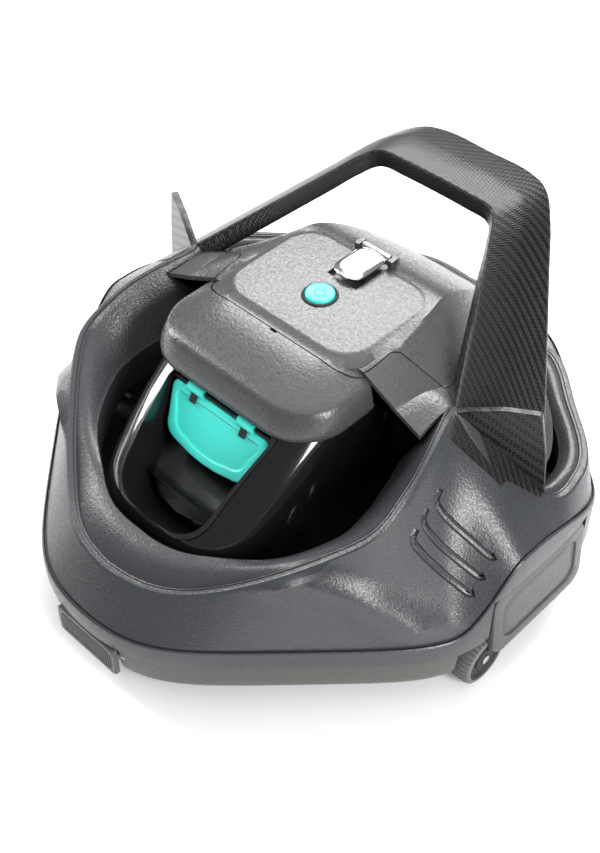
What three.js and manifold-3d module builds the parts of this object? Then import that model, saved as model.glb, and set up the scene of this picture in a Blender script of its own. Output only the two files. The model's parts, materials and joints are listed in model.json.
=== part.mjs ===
// Cordless jet-driven pool cleaner, in millimetres, +Z up.
// The outlet mouth and the front latch face -Y. X is the machine's width.
// The origin is on the floor, under the middle of the machine.
import * as THREE from 'three';
import { mergeVertices } from 'three/addons/utils/BufferGeometryUtils.js';
import Module from 'manifold-3d';

const wasm = await Module();
wasm.setup();

// ---- driving dimensions: hull planform ----
const hull_front = 205;            // centre to front flat
const hull_rear = 178;             // centre to rear flat
const hull_half_width = 172;       // centre to side flat
const diagonal_front = 174.6;      // centre to each front diagonal flat
const diagonal_rear = 159;         // centre to each rear diagonal flat
const corner_sharpness = 16;       // higher is a tighter planform corner

// ---- heights ----
const floor_clearance = 17;        // underside of the tray
const seam_height = 41;            // joint between tray and upper shell
const skirt_height = 56;           // top of the upright skirt band
const side_arch_rise = 38;         // how far the band climbs over each side panel
const plate_height = 170;          // flat top of the rear cover

// ---- walls and gaps ----
const shell_wall = 3;
const tray_wall = 3;
const rim_width = 4;
const part_gap = 0.4;
const merge_tolerance = 0.03;      // edges shorter than this collapse in a cut or joined solid

// ---- wheels ----
const wheel_radius = 18;
const tyre_thickness = 4;
const wheel_width = 14;
const axle_radius = 3;
const front_wheel_x = 162;
const front_wheel_y = -48;
const rear_wheel_x = 108;
const rear_wheel_y = 72;
const wheel_margin = 4;

// ---- side panels ----
const panel_front_y = -49;
const panel_rear_y = 35;
const panel_bottom = 25;
const panel_top = 74;
const panel_thickness = 4;
const panel_flare = 5;

// ---- pump pod and outlet ----
const pod_half_width = 64;
const pod_bottom = 48;
const pod_top = 158;
const pod_wall = 3;
const mouth_half_width = 43;
const mouth_length = 84;
const mouth_taper = 6;             // the mouth narrows this much toward its foot, each side
const mouth_lean = 45;             // degrees from upright
const flap_half_width = 38;
const flap_length = 33;
const flap_thickness = 2.4;
const flap_pin_radius = 1.6;

// ---- controls on the plate ----
const button_radius = 8.8;
const button_y = -10.7;
const button_height = 6;
const ring_width = 1.8;
const tab_width = 21;
const tab_length = 31;
const tab_hinge_y = 38;
const tab_thickness = 2.6;
const tab_lift = 3;                // underside of the tab above the plate
const hinge_wire_radius = 1.2;

// ---- handle ----
const handle_inner_foot = [105, -15, 151];
const handle_outer_foot = [154, 9, 104];
const handle_inner_corner = [48, 83, 200];
const handle_outer_corner = [58, 126, 193];
const grip_inner_y = 88;
const grip_outer_y = 139;
const grip_height = 202;
const handle_inner_thickness = 12;
const handle_outer_thickness = 6;
const fin_tip = [146, 6, 161];
const fin_thickness = 4.5;

// ---- pump and inside parts ----
const pump_y = -28;
const impeller_radius = 26;
const impeller_height = 12;
const motor_radius = 21;
const motor_height = 44;
const shaft_radius = 3;
const latch_width = 50;
const latch_height = 22;
const latch_thickness = 4;

const centre_shift = (hull_front - hull_rear) / 2;
const radians = THREE.MathUtils.degToRad;

// ---- crest loop and well edge, front centre to rear centre ----
// [angle from the front, crest inset from skirt, crest height, well inset from crest, well height]
const loop_rows = [
  [0, 20, 80, 27, 90],
  [16, 22, 82, 22, 91],
  [31, 19, 98, 17, 96],
  [45, 20, 117, 24, 103],
  [52, 25, 126, 32, 107],
  [60, 42, 137, 33, 111],
  [69, 59, 145, 29, 115],
  [80, 68, 150, 17, 119],
  [84, 65, 150, 17, 118],
  [93, 18, 104, 16, 100],
  [104, 10, 99, 16, 95],
  [124, 14, 99, 16, 95],
  [141, 17, 99, 16, 95],
  [153, 34, 99, 16, 95],
  [167, 40, 99, 16, 95],
  [180, 43, 99, 16, 95],
];

// ---------------------------------------------------------------- helpers
function material(colour, roughness, metalness = 0) {
  return new THREE.MeshStandardMaterial({ color: colour, roughness, metalness });
}

function signed_volume(positions, index) {
  const a = new THREE.Vector3();
  const b = new THREE.Vector3();
  const c = new THREE.Vector3();
  let total = 0;
  for (let i = 0; i < index.length; i += 3) {
    a.fromArray(positions, index[i] * 3);
    b.fromArray(positions, index[i + 1] * 3);
    c.fromArray(positions, index[i + 2] * 3);
    total += a.dot(b.cross(c));
  }
  return total;
}

function closed_geometry(points, faces) {
  const positions = points.flatMap((p) => [p.x, p.y, p.z]);
  let index = faces.flat();
  if (signed_volume(positions, index) < 0) {
    index = faces.flatMap(([a, b, c]) => [a, c, b]);
  }
  const geometry = new THREE.BufferGeometry();
  geometry.setAttribute('position', new THREE.Float32BufferAttribute(positions, 3));
  geometry.setIndex(index);
  geometry.computeVertexNormals();
  return geometry;
}

// Skin between closed rings. "wrap" joins the last ring to the first; otherwise both ends are capped.
function loft(rings, wrap = false) {
  const count = rings[0].length;
  const points = rings.flat().map((p) => p.clone());
  const faces = [];
  const last = wrap ? rings.length : rings.length - 1;
  for (let r = 0; r < last; r += 1) {
    const here = r * count;
    const next = ((r + 1) % rings.length) * count;
    for (let i = 0; i < count; i += 1) {
      const j = (i + 1) % count;
      faces.push([here + i, here + j, next + j], [here + i, next + j, next + i]);
    }
  }
  if (!wrap) {
    for (const [start, flip] of [[0, true], [(rings.length - 1) * count, false]]) {
      const middle = new THREE.Vector3();
      for (let i = 0; i < count; i += 1) middle.addScaledVector(points[start + i], 1 / count);
      points.push(middle);
      const centre = points.length - 1;
      for (let i = 0; i < count; i += 1) {
        const j = (i + 1) % count;
        faces.push(flip ? [centre, start + j, start + i] : [centre, start + i, start + j]);
      }
    }
  }
  return closed_geometry(points, faces);
}

function to_solid(geometry) {
  const bare = geometry.clone();
  bare.deleteAttribute('normal');
  bare.deleteAttribute('uv');
  const merged = mergeVertices(bare, 1e-4);
  const vertProperties = new Float32Array(merged.attributes.position.array);
  const triVerts = new Uint32Array(merged.index.array);
  return new wasm.Manifold(new wasm.Mesh({ numProp: 3, vertProperties, triVerts }));
}

function to_geometry(solid) {
  const mesh = solid.simplify(merge_tolerance).getMesh();
  const geometry = new THREE.BufferGeometry();
  geometry.setAttribute('position', new THREE.BufferAttribute(new Float32Array(mesh.vertProperties), 3));
  geometry.setIndex(new THREE.BufferAttribute(new Uint32Array(mesh.triVerts), 1));
  geometry.computeVertexNormals();
  return geometry;
}

function cut(base, ...tools) {
  let solid = to_solid(base);
  for (const tool of tools) solid = solid.subtract(to_solid(tool));
  return to_geometry(solid);
}

function join(base, ...extras) {
  let solid = to_solid(base);
  for (const extra of extras) solid = solid.add(to_solid(extra));
  return to_geometry(solid);
}

// The biggest of the pieces that a cut leaves.
function main_piece(geometry) {
  const pieces = to_solid(geometry).decompose();
  pieces.sort((a, b) => b.volume() - a.volume());
  return to_geometry(pieces[0]);
}

function common(base, tool) {
  return to_geometry(to_solid(base).intersect(to_solid(tool)));
}

function mirrored(geometry) {
  const points = [];
  const source = geometry.attributes.position;
  for (let i = 0; i < source.count; i += 1) {
    points.push(new THREE.Vector3(-source.getX(i), source.getY(i), source.getZ(i)));
  }
  const merged = geometry.index ? Array.from(geometry.index.array) : points.map((_, i) => i);
  const faces = [];
  for (let i = 0; i < merged.length; i += 3) faces.push([merged[i], merged[i + 1], merged[i + 2]]);
  return closed_geometry(points, faces);
}

function block(x, y, z, width, depth, height) {
  return new THREE.BoxGeometry(width, depth, height).translate(x, y, z);
}

function rod(radius, length, axis, x, y, z, sides = 16) {
  const geometry = new THREE.CylinderGeometry(radius, radius, length, sides);
  if (axis === 'x') geometry.rotateZ(Math.PI / 2);
  if (axis === 'z') geometry.rotateX(Math.PI / 2);
  return geometry.translate(x, y, z);
}

function ring_tube(outer, inner, length, axis, x, y, z, sides = 20) {
  const profile = [
    new THREE.Vector2(inner, -length / 2),
    new THREE.Vector2(outer, -length / 2),
    new THREE.Vector2(outer, length / 2),
    new THREE.Vector2(inner, length / 2),
    new THREE.Vector2(inner, -length / 2),
  ];
  const geometry = new THREE.LatheGeometry(profile, sides);
  if (axis === 'x') geometry.rotateZ(Math.PI / 2);
  if (axis === 'z') geometry.rotateX(Math.PI / 2);
  return geometry.translate(x, y, z);
}

function rounded_outline(half_width, half_length, radius) {
  const shape = new THREE.Shape();
  const w = half_width;
  const l = half_length;
  const r = Math.min(radius, w, l);
  shape.absarc(w - r, -l + r, r, -Math.PI / 2, 0);
  shape.absarc(w - r, l - r, r, 0, Math.PI / 2);
  shape.absarc(-w + r, l - r, r, Math.PI / 2, Math.PI);
  shape.absarc(-w + r, -l + r, r, Math.PI, 1.5 * Math.PI);
  return shape;
}

function rounded_slab(half_width, half_length, radius, thickness, segments = 4) {
  const shape = rounded_outline(half_width, half_length, radius);
  return new THREE.ExtrudeGeometry(shape, { depth: thickness, bevelEnabled: false, curveSegments: segments });
}

// Smooth value of one column of a table of rows, at a given first-column value.
function smooth_column(rows, at, column) {
  let i = 0;
  while (i < rows.length - 2 && at > rows[i + 1][0]) i += 1;
  const before = rows[Math.max(i - 1, 0)];
  const from = rows[i];
  const to = rows[i + 1];
  const after = rows[Math.min(i + 2, rows.length - 1)];
  const span = to[0] - from[0];
  const t = (at - from[0]) / span;
  const start_slope = ((to[column] - before[column]) / (to[0] - before[0])) * span;
  const end_slope = ((after[column] - from[column]) / (after[0] - from[0])) * span;
  const t2 = t * t;
  const t3 = t2 * t;
  return (2 * t3 - 3 * t2 + 1) * from[column] + (t3 - 2 * t2 + t) * start_slope
    + (-2 * t3 + 3 * t2) * to[column] + (t3 - t2) * end_slope;
}

// ---------------------------------------------------------------- planform
const flats = [
  [0, hull_front], [45, diagonal_front], [-45, diagonal_front], [90, hull_half_width],
  [-90, hull_half_width], [135, diagonal_rear], [-135, diagonal_rear], [180, hull_rear],
];

function skirt_radius(angle) {
  let sum = 0;
  for (const [facing, distance] of flats) {
    const reach = Math.cos(radians(angle - facing)) / distance;
    if (reach > 0) sum += reach ** corner_sharpness;
  }
  return sum ** (-1 / corner_sharpness);
}

function at_angle(angle, radius, height) {
  const turn = radians(angle);
  return new THREE.Vector3(radius * Math.sin(turn), -radius * Math.cos(turn), height);
}

function skirt_top(angle) {
  const side = Math.abs(angle);
  const climb = THREE.MathUtils.smoothstep(side, 65, 81);
  const fall = THREE.MathUtils.smoothstep(side, 84, 128);
  return skirt_height + side_arch_rise * climb * (1 - fall);
}

function loop_value(angle, column) {
  return smooth_column(loop_rows, Math.abs(angle), column);
}

function crest_radius(angle) {
  return skirt_radius(angle) - loop_value(angle, 1);
}

function crest_height(angle) {
  return loop_value(angle, 2);
}

const station_step = 6;
const stations = [];
for (let angle = -180; angle < 180 - station_step / 2; angle += station_step) stations.push(angle);

function ring(radius_of, height_of) {
  return stations.map((angle) => at_angle(angle, radius_of(angle), height_of(angle)));
}

// ---------------------------------------------------------------- hull
const well_drop = 22;

function well_radius(angle) {
  return crest_radius(angle) - loop_value(angle, 3);
}

function well_height(angle) {
  return loop_value(angle, 4);
}

function side_notches(margin) {
  const depth = panel_rear_y - panel_front_y + 2 * margin;
  const middle = (panel_rear_y + panel_front_y) / 2;
  const reach = 30;
  const tools = [];
  for (const side of [-1, 1]) {
    const x = side * (hull_half_width - shell_wall - 3 + reach / 2);
    const top = panel_top + margin;
    tools.push(block(x, middle, top / 2, reach, depth, top));
  }
  return tools;
}

function upper_shell_geometry() {
  const drop = (angle) => well_height(angle) - well_drop;
  const rings = [
    ring(skirt_radius, () => seam_height),
    ring(skirt_radius, skirt_top),
    ring(crest_radius, crest_height),
    ring((a) => crest_radius(a) - rim_width, crest_height),
    ring(well_radius, well_height),
    ring(well_radius, drop),
    ring((a) => well_radius(a) + shell_wall, drop),
    ring((a) => well_radius(a) + shell_wall, (a) => well_height(a) - shell_wall),
    ring((a) => crest_radius(a) - rim_width, (a) => crest_height(a) - shell_wall * 1.4),
    ring((a) => skirt_radius(a) - shell_wall, (a) => skirt_top(a) - shell_wall),
    ring((a) => skirt_radius(a) - shell_wall, () => seam_height),
  ];
  return cut(loft(rings, true), ...side_notches(part_gap));
}

// Everything under the outer surface of the hull, for trimming what stands on it.
function hull_fill_geometry(rise) {
  return loft([
    ring(skirt_radius, () => rise),
    ring(skirt_radius, (a) => skirt_top(a) + rise),
    ring(crest_radius, (a) => crest_height(a) + rise),
    ring((a) => crest_radius(a) - rim_width, (a) => crest_height(a) + rise),
    ring(well_radius, (a) => well_height(a) + rise),
  ]);
}

// ---------------------------------------------------------------- tray
function tray_geometry() {
  const top = seam_height - part_gap;
  const outer = (inset) => (angle) => skirt_radius(angle) - inset;
  const floor_inner = floor_clearance + tray_wall;
  const rings = [
    ring(outer(1.5), () => top),
    ring(outer(2.5), () => floor_clearance + 7),
    ring(outer(8), () => floor_clearance),
    ring(outer(8 + tray_wall), () => floor_clearance),
  ];
  const inside = [
    ring(outer(4.5 + tray_wall), () => top + 1),
    ring(outer(6 + tray_wall), () => floor_inner + 6),
    ring(outer(10 + tray_wall), () => floor_inner),
  ];
  const body = loft(rings);
  const pan = cut(body, loft(inside), ...side_notches(part_gap), ...inlet_cuts(), ...latch_notches());
  return cut(join(pan, ...axle_blocks()), ...wheel_notches(), ...axle_bores());
}

function wheel_places() {
  return [
    ['front_right', front_wheel_x, front_wheel_y],
    ['front_left', -front_wheel_x, front_wheel_y],
    ['rear_right', rear_wheel_x, rear_wheel_y],
    ['rear_left', -rear_wheel_x, rear_wheel_y],
  ];
}

function wheel_notches() {
  const tools = [];
  for (const [, x, y] of wheel_places()) {
    const size = 2 * (wheel_radius + wheel_margin);
    tools.push(block(x, y, wheel_radius, wheel_width + 2 * wheel_margin, size, size));
  }
  return tools;
}

const inlet_y = -70;
const brush_offset = 24;
const brush_z = floor_clearance - 4.4;
const inlet_x = 62;
const inlet_width = 64;
const inlet_depth = 20;

function inlet_cuts() {
  return [-1, 1].map((side) => block(side * inlet_x, inlet_y, floor_clearance, inlet_width, inlet_depth, 20));
}

const latch_top = seam_height - 1;
const latch_pin_radius = 1.5;
const latch_pin_z = latch_top - 5;
const front_latch_y = -hull_front + 0.5;
const rear_latch_y = hull_rear - latch_thickness - 0.5;

function latch_pin_y(face_y, outward) {
  const inner_face = outward < 0 ? face_y + latch_thickness : face_y;
  return inner_face - outward * 2.4;
}

function latch_notches() {
  const width = latch_width + 2 * part_gap;
  const reach = 2 * (latch_thickness + 8);
  const height = latch_height + 4;
  const z = latch_top - latch_height / 2;
  const pin_length = latch_width + 10;
  return [
    block(0, -hull_front, z, width, reach, height),
    block(0, hull_rear, z, width, reach, height),
    rod(latch_pin_radius + part_gap, pin_length, 'x', 0, latch_pin_y(front_latch_y, -1), latch_pin_z, 12),
    rod(latch_pin_radius + part_gap, pin_length, 'x', 0, latch_pin_y(rear_latch_y, 1), latch_pin_z, 12),
  ];
}

// ---------------------------------------------------------------- bonnet: visor and rear cover
// Rear roof over the deck and both shoulders, as rows across the machine.
// [y, plate edge x, plate edge z, shoulder x, shoulder z, outer x, outer z]
const deck_rows = [
  [-38, 58, 166, 82, 154, 100, 146],
  [-16, 60, 168, 84, 153, 99, 148],
  [-4, 58, 168.5, 86, 150, 106, 142],
  [8, 56, 169, 86, 148, 128, 118],
  [22, 54, 169, 84, 143, 137, 104],
  [40, 50, 168, 80, 133, 136, 97],
  [62, 46, 157, 76, 122, 122, 97],
  [84, 40, 141, 68, 112, 100, 97],
  [104, 34, 124, 56, 106, 76, 97],
  [119, 28, 108, 38, 101, 48, 97],
];
const roof_wall = 3;

function deck_row_points([y, edge_x, edge_z, shoulder_x, shoulder_z, outer_x, outer_z]) {
  const half = [
    [outer_x, outer_z],
    [(outer_x + shoulder_x) / 2, (outer_z + shoulder_z) / 2],
    [shoulder_x, shoulder_z],
    [edge_x, edge_z],
    [edge_x / 2, edge_z + 0.6],
  ];
  const row = half.map(([x, z]) => new THREE.Vector3(-x, y, z));
  row.push(new THREE.Vector3(0, y, edge_z + 0.8));
  for (const [x, z] of half.reverse()) row.push(new THREE.Vector3(x, y, z));
  return row;
}

function roof_patch(rows, drop) {
  const rings = rows.map((row) => {
    const under = row.map((p) => new THREE.Vector3(p.x, p.y, p.z - drop)).reverse();
    return [...row, ...under];
  });
  return loft(rings);
}

function deck_geometry(drop = roof_wall, rise = 0) {
  const rows = deck_rows.map(deck_row_points);
  for (const row of rows) for (const point of row) point.z += rise;
  return roof_patch(rows, drop);
}

// Raised plate that carries the button, with a sloped border.
const plate_front_y = -49;
const plate_rear_y = 40;
const plate_half_width = 57;
const plate_border = 7;

function plate_geometry() {
  const length = (plate_rear_y - plate_front_y) / 2;
  const middle = (plate_rear_y + plate_front_y) / 2;
  const outline = (inset, height) => rounded_outline(plate_half_width - inset, length - inset, 20)
    .getPoints(4).slice(0, -1).map((p) => new THREE.Vector3(p.x, p.y + middle, height));
  return loft([
    outline(0, plate_height - 7),
    outline(0, plate_height - 3.4),
    outline(plate_border, plate_height),
  ]);
}

// Domed visor: rounded rectangles from the lip upward, leaning back from a proud lip.
const visor_half_width = 67;
const visor_front_y = -93;
const visor_rear_y = -12;
const visor_lip = 142;
// [front inset from the proud lip, side inset, height above the lip]
const visor_rows = [
  [3, 2.5, 0],
  [0.4, 0.4, 2],
  [0, 0, 5],
  [3, 0.4, 12],
  [8, 2, 19],
  [14, 6, 24],
  [26, 14, 26.4],
];

function visor_outline(front_inset, side_inset, height, rear = visor_rear_y) {
  const front = visor_front_y + front_inset;
  const half_length = (rear - front) / 2;
  return rounded_outline(visor_half_width - side_inset, half_length, 32 - side_inset)
    .getPoints(5).slice(0, -1).map((p) => new THREE.Vector3(p.x, p.y + front + half_length, height));
}

function visor_dome() {
  return loft(visor_rows.map(([front, side, height]) => visor_outline(front, side, visor_lip + height)));
}

function bonnet_geometry() {
  const wall = 2.2;
  const rear = visor_rear_y + 20;
  const hollow = loft([
    visor_outline(3 + wall, 2.5 + wall, visor_lip - 1, rear),
    visor_outline(wall, wall, visor_lip + 5, rear),
    visor_outline(4 + wall, 0.6 + wall, visor_lip + 11.5, rear),
    visor_outline(9 + wall, 3 + wall, visor_lip + 18, rear),
    visor_outline(17 + wall, 9 + wall, visor_lip + 22.4, rear),
  ]);
  const shell = join(visor_dome(), deck_geometry(), plate_geometry());
  const under_plate = block(0, 0, plate_height - 13, 2 * (plate_half_width - 8), 76, 14);
  return cut(shell, hollow, under_plate, hull_fill_geometry(part_gap));
}

// Plan outline of the rear cover: round the plate front, then out to each shoulder.
function seam_prism(inset) {
  const front = plate_front_y + inset;
  const shape = new THREE.Shape();
  const side = plate_half_width + 3 - inset;
  const corner = 18;
  shape.moveTo(-160, 150);
  shape.lineTo(-160, 6 + inset);
  shape.lineTo(-88, 6 + inset);
  shape.lineTo(-88 + inset, -3 + inset);
  shape.lineTo(-side, -16 + inset);
  shape.lineTo(-side, front + corner);
  shape.quadraticCurveTo(-side, front, -side + corner, front);
  shape.lineTo(side - corner, front);
  shape.quadraticCurveTo(side, front, side, front + corner);
  shape.lineTo(side, -16 + inset);
  shape.lineTo(88 - inset, -3 + inset);
  shape.lineTo(88, 6 + inset);
  shape.lineTo(160, 6 + inset);
  shape.lineTo(160, 150);
  const prism = new THREE.ExtrudeGeometry(shape, { depth: 140, bevelEnabled: false, curveSegments: 5 });
  return prism.translate(0, 0, 70);
}

function charge_pocket() {
  const middle = tab_hinge_y - tab_length / 2;
  return block(0, middle, plate_height - 2, tab_width + 1.6, tab_length + 1.6, 6);
}

function rear_cover_geometry(bonnet) {
  const button_bore = rod(button_radius + ring_width + part_gap, 30, 'z', 0, button_y, plate_height);
  const socket_bore = rod(socket_radius + part_gap, 30, 'z', 0, socket_y, plate_height);
  return cut(common(bonnet, seam_prism(part_gap)), button_bore, charge_pocket(), socket_bore);
}

function front_visor_geometry(bonnet) {
  return cut(bonnet, seam_prism(0));
}

// ---------------------------------------------------------------- pump pod
// [height, front y, rear y, half width]
const pod_rows = [
  [pod_bottom, -150, 24, pod_half_width - 3],
  [72, -152, 22, pod_half_width - 1],
  [90, -150, 20, pod_half_width],
  [106, -136, 18, pod_half_width],
  [124, -116, 16, pod_half_width - 0.6],
  [141, -93, 14, pod_half_width - 2],
  [150, -84, 10, pod_half_width - 7],
  [pod_top, -70, 6, pod_half_width - 14],
];
const pod_sides = 28;

function pod_ring([height, front, rear, half_width], inset) {
  const middle = (front + rear) / 2;
  const half_length = (rear - front) / 2 - inset;
  const points = [];
  for (let i = 0; i < pod_sides; i += 1) {
    const turn = (2 * Math.PI * i) / pod_sides;
    const squareness = 0.64;
    const x = Math.sign(Math.sin(turn)) * Math.abs(Math.sin(turn)) ** squareness * (half_width - inset);
    const y = -Math.sign(Math.cos(turn)) * Math.abs(Math.cos(turn)) ** squareness * half_length;
    points.push(new THREE.Vector3(x, middle + y, height));
  }
  return points;
}

function pod_solid(inset, bottom, top) {
  const rows = pod_rows.map((row) => [...row]);
  rows[0][0] = bottom;
  rows[rows.length - 1][0] = top;
  return loft(rows.map((row) => pod_ring(row, inset)));
}

const mouth_middle = [0, -117.1, 114.9];
const mouth_top_corner = 8;
const mouth_foot_corner = 22;

// A prism square to the mouth plane: nearly straight top, tapering sides, round foot.
function mouth_prism(inset, start, depth) {
  const top = mouth_length / 2 - inset;
  const foot = -mouth_length / 2 + inset;
  const wide = mouth_half_width - inset;
  const narrow = wide - mouth_taper;
  const high = mouth_top_corner;
  const low = mouth_foot_corner;
  const shape = new THREE.Shape();
  shape.moveTo(wide - high, top);
  shape.lineTo(-wide + high, top);
  shape.quadraticCurveTo(-wide, top, -wide, top - high);
  shape.lineTo(-narrow, foot + low);
  shape.quadraticCurveTo(-narrow + 2, foot + 3, -narrow + low, foot + 0.6);
  shape.quadraticCurveTo(0, foot - 1, narrow - low, foot + 0.6);
  shape.quadraticCurveTo(narrow - 2, foot + 3, narrow, foot + low);
  shape.lineTo(wide, top - high);
  shape.quadraticCurveTo(wide, top, wide - high, top);
  const slab = new THREE.ExtrudeGeometry(shape, { depth, bevelEnabled: false, curveSegments: 4 });
  slab.translate(0, 0, -start - depth);
  slab.rotateX(radians(90 - mouth_lean));
  return slab.translate(...mouth_middle);
}

function pod_geometry() {
  const pod_outside = pod_solid(0, pod_bottom, pod_top);
  const pod_inside = pod_solid(pod_wall, pod_bottom - 2, pod_top - pod_wall);
  const shell = cut(pod_outside, pod_inside);
  return cut(shell, mouth_prism(0, -20, 44));
}

const duct_wall = 2.2;
const duct_depth = 40;

// Cup behind the mouth: walls flush with the pod, a floor, and a jet slot through the floor.
function duct_geometry() {
  const cup_outside = mouth_prism(part_gap, -20, duct_depth + 20);
  const cup_inside = mouth_prism(part_gap + duct_wall, -30, duct_depth + 28);
  const cup = cut(cup_outside, cup_inside);
  const flush = common(cup, pod_solid(-0.5, pod_bottom, pod_top));
  const under_lip = block(0, visor_front_y, visor_lip + 9.2, 200, 20, 20);
  const bore_length = 2 * mouth_half_width + 10;
  const pin_bore = rod(flap_pin_radius + part_gap, bore_length, 'x', 0, flap_pin_y, flap_pin_z, 12);
  return cut(flush, pin_bore, under_lip);
}

// ---------------------------------------------------------------- outlet flap
const flap_pin_y = -89;
const flap_pin_z = 136.2;
const flap_lean = 29;              // degrees from hanging straight down

function flap_geometry() {
  const shape = new THREE.Shape();
  const w = flap_half_width;
  const l = flap_length;
  const r = 8;
  shape.moveTo(-w + 2, -3);
  shape.lineTo(w - 2, -3);
  shape.lineTo(w, -6);
  shape.lineTo(w - 4, -l + r);
  shape.quadraticCurveTo(w - 5, -l - 1, w - 6 - r, -l - 2);
  shape.quadraticCurveTo(0, -l - 6, -w + 6 + r, -l - 2);
  shape.quadraticCurveTo(-w + 5, -l - 1, -w + 4, -l + r);
  shape.lineTo(-w, -6);
  const options = { depth: flap_thickness, bevelEnabled: false, curveSegments: 5 };
  const plate = new THREE.ExtrudeGeometry(shape, options).translate(0, 0, -flap_thickness / 2);
  plate.rotateX(Math.PI / 2 - radians(flap_lean));
  const bore = rod(flap_pin_radius + part_gap, 2 * w + 4, 'x', 0, 0, 0, 12);
  const barrels = [-1, 1].map((side) => rod(flap_pin_radius + 2.2, 12, 'x', side * 20, 0, 0, 14));
  const webs = [-1, 1].map((side) => {
    const web = block(0, -3.2, 0, 10, 6, flap_thickness);
    web.rotateX(Math.PI / 2 - radians(flap_lean));
    return web.translate(side * 20, 0, 0);
  });
  const body = cut(join(plate, ...barrels, ...webs), bore);
  return body.translate(0, flap_pin_y, flap_pin_z);
}

function flap_pin_geometry() {
  return rod(flap_pin_radius, 2 * mouth_half_width - 3, 'x', 0, flap_pin_y, flap_pin_z, 12);
}

// ---------------------------------------------------------------- plate controls
const socket_radius = 6;
const socket_y = 20;
const stem_radius = 4;
const stem_length = 6;
const button_stands_up = 2.4;

function button_geometry() {
  const top = plate_height + button_stands_up;
  const stem_overlap = 0.4;
  const stem_middle = top - button_height - stem_length / 2 + stem_overlap;
  const cap = rod(button_radius, button_height, 'z', 0, button_y, top - button_height / 2, 20);
  const stem = rod(stem_radius, stem_length, 'z', 0, button_y, stem_middle, 12);
  return join(cap, stem);
}

function button_ring_geometry() {
  const outer = button_radius + ring_width;
  const ring_part = ring_tube(outer, button_radius + part_gap, 12, 'z', 0, button_y, plate_height - 5);
  const floor = ring_tube(outer, stem_radius + part_gap, 2, 'z', 0, button_y, plate_height - 10.6);
  return join(ring_part, floor);
}

function button_spring_geometry() {
  return ring_tube(7, 5.4, 3.4, 'z', 0, button_y, plate_height - 7.2, 16);
}

const tab_wire_z = plate_height + tab_lift + 0.4;

function tab_geometry() {
  const lift = plate_height + tab_lift;
  const half = tab_length / 2;
  const middle = tab_hinge_y - half;
  const slab = rounded_slab(tab_width / 2, half - 1, 6, tab_thickness, 5).translate(0, middle, lift);
  const nose = block(0, tab_hinge_y - tab_length + 3, lift - 1, 9, 3, 3);
  const barrel = rod(2 * hinge_wire_radius + 0.2, tab_width - 1, 'x', 0, tab_hinge_y, tab_wire_z);
  const bore = rod(hinge_wire_radius + part_gap, tab_width + 4, 'x', 0, tab_hinge_y, tab_wire_z, 12);
  return cut(join(slab, nose, barrel), bore);
}

function tab_pin_geometry() {
  return rod(hinge_wire_radius, tab_width + 6, 'x', 0, tab_hinge_y, tab_wire_z, 12);
}

function tab_hinge_block_geometry(side) {
  const x = side * (tab_width / 2 + 2.4);
  const ear = block(x, tab_hinge_y, plate_height + 2.9, 3, 7, 5);
  return cut(ear, rod(hinge_wire_radius + part_gap, 40, 'x', 0, tab_hinge_y, tab_wire_z, 12));
}

// Charging inlet: a cup flush with the plate, with two short contacts on its floor.
const socket_depth = 8;
const contact_length = 2.4;

function socket_geometry() {
  const mouth_z = plate_height - 1;
  const cup = rod(socket_radius, 14, 'z', 0, socket_y, mouth_z - 7, 20);
  const hollow = rod(socket_radius - 1.8, 2 * socket_depth, 'z', 0, socket_y, mouth_z, 20);
  return cut(cup, hollow);
}

function contact_geometry(side) {
  const foot_z = plate_height - 1 - socket_depth + 0.3;
  return rod(0.8, contact_length, 'z', side * 1.8, socket_y, foot_z + contact_length / 2, 8);
}

// ---------------------------------------------------------------- handle
// Right half of the handle from foot to grip middle: [inner edge, outer edge].
function handle_sections() {
  const point = (p) => new THREE.Vector3(...p);
  const inner_foot = point(handle_inner_foot);
  const outer_foot = point(handle_outer_foot);
  const inner_corner = point(handle_inner_corner);
  const outer_corner = point(handle_outer_corner);
  const sections = [];
  for (const t of [-0.12, 0.1, 0.32, 0.54, 0.76, 0.92]) {
    sections.push([
      inner_foot.clone().lerp(inner_corner, t),
      outer_foot.clone().lerp(outer_corner, t),
    ]);
  }
  const corner_drop = 3;
  sections.push([
    new THREE.Vector3(inner_corner.x - 5, grip_inner_y - 1.5, inner_corner.z + 1),
    new THREE.Vector3(outer_corner.x - 9, grip_outer_y - 6, outer_corner.z + 1),
  ]);
  sections.push([
    new THREE.Vector3(inner_corner.x / 2, grip_inner_y, grip_height - 0.4),
    new THREE.Vector3(outer_corner.x / 2, grip_outer_y, grip_height - 2 * corner_drop),
  ]);
  sections.push([
    new THREE.Vector3(0, grip_inner_y, grip_height),
    new THREE.Vector3(0, grip_outer_y, grip_height - 2 * corner_drop),
  ]);
  return sections;
}

function handle_ring([inner, outer], share) {
  const down_foot = new THREE.Vector3(-0.62, 0, -0.78);
  const down_grip = new THREE.Vector3(0, 0, -1);
  const down = down_foot.lerp(down_grip, share).normalize();
  const crown = 2;
  const inner_low = inner.clone().addScaledVector(down, handle_inner_thickness);
  const outer_low = outer.clone().addScaledVector(down, handle_outer_thickness);
  const upper_middle = inner.clone().lerp(outer, 0.5).addScaledVector(down, -crown);
  const lower_middle = inner_low.clone().lerp(outer_low, 0.5);
  const outer_middle = outer.clone().lerp(outer_low, 0.5);
  const bulge = outer.clone().sub(inner).normalize();
  outer_middle.addScaledVector(bulge, 1.5);
  return [inner, upper_middle, outer, outer_middle, outer_low, lower_middle, inner_low];
}

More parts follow.
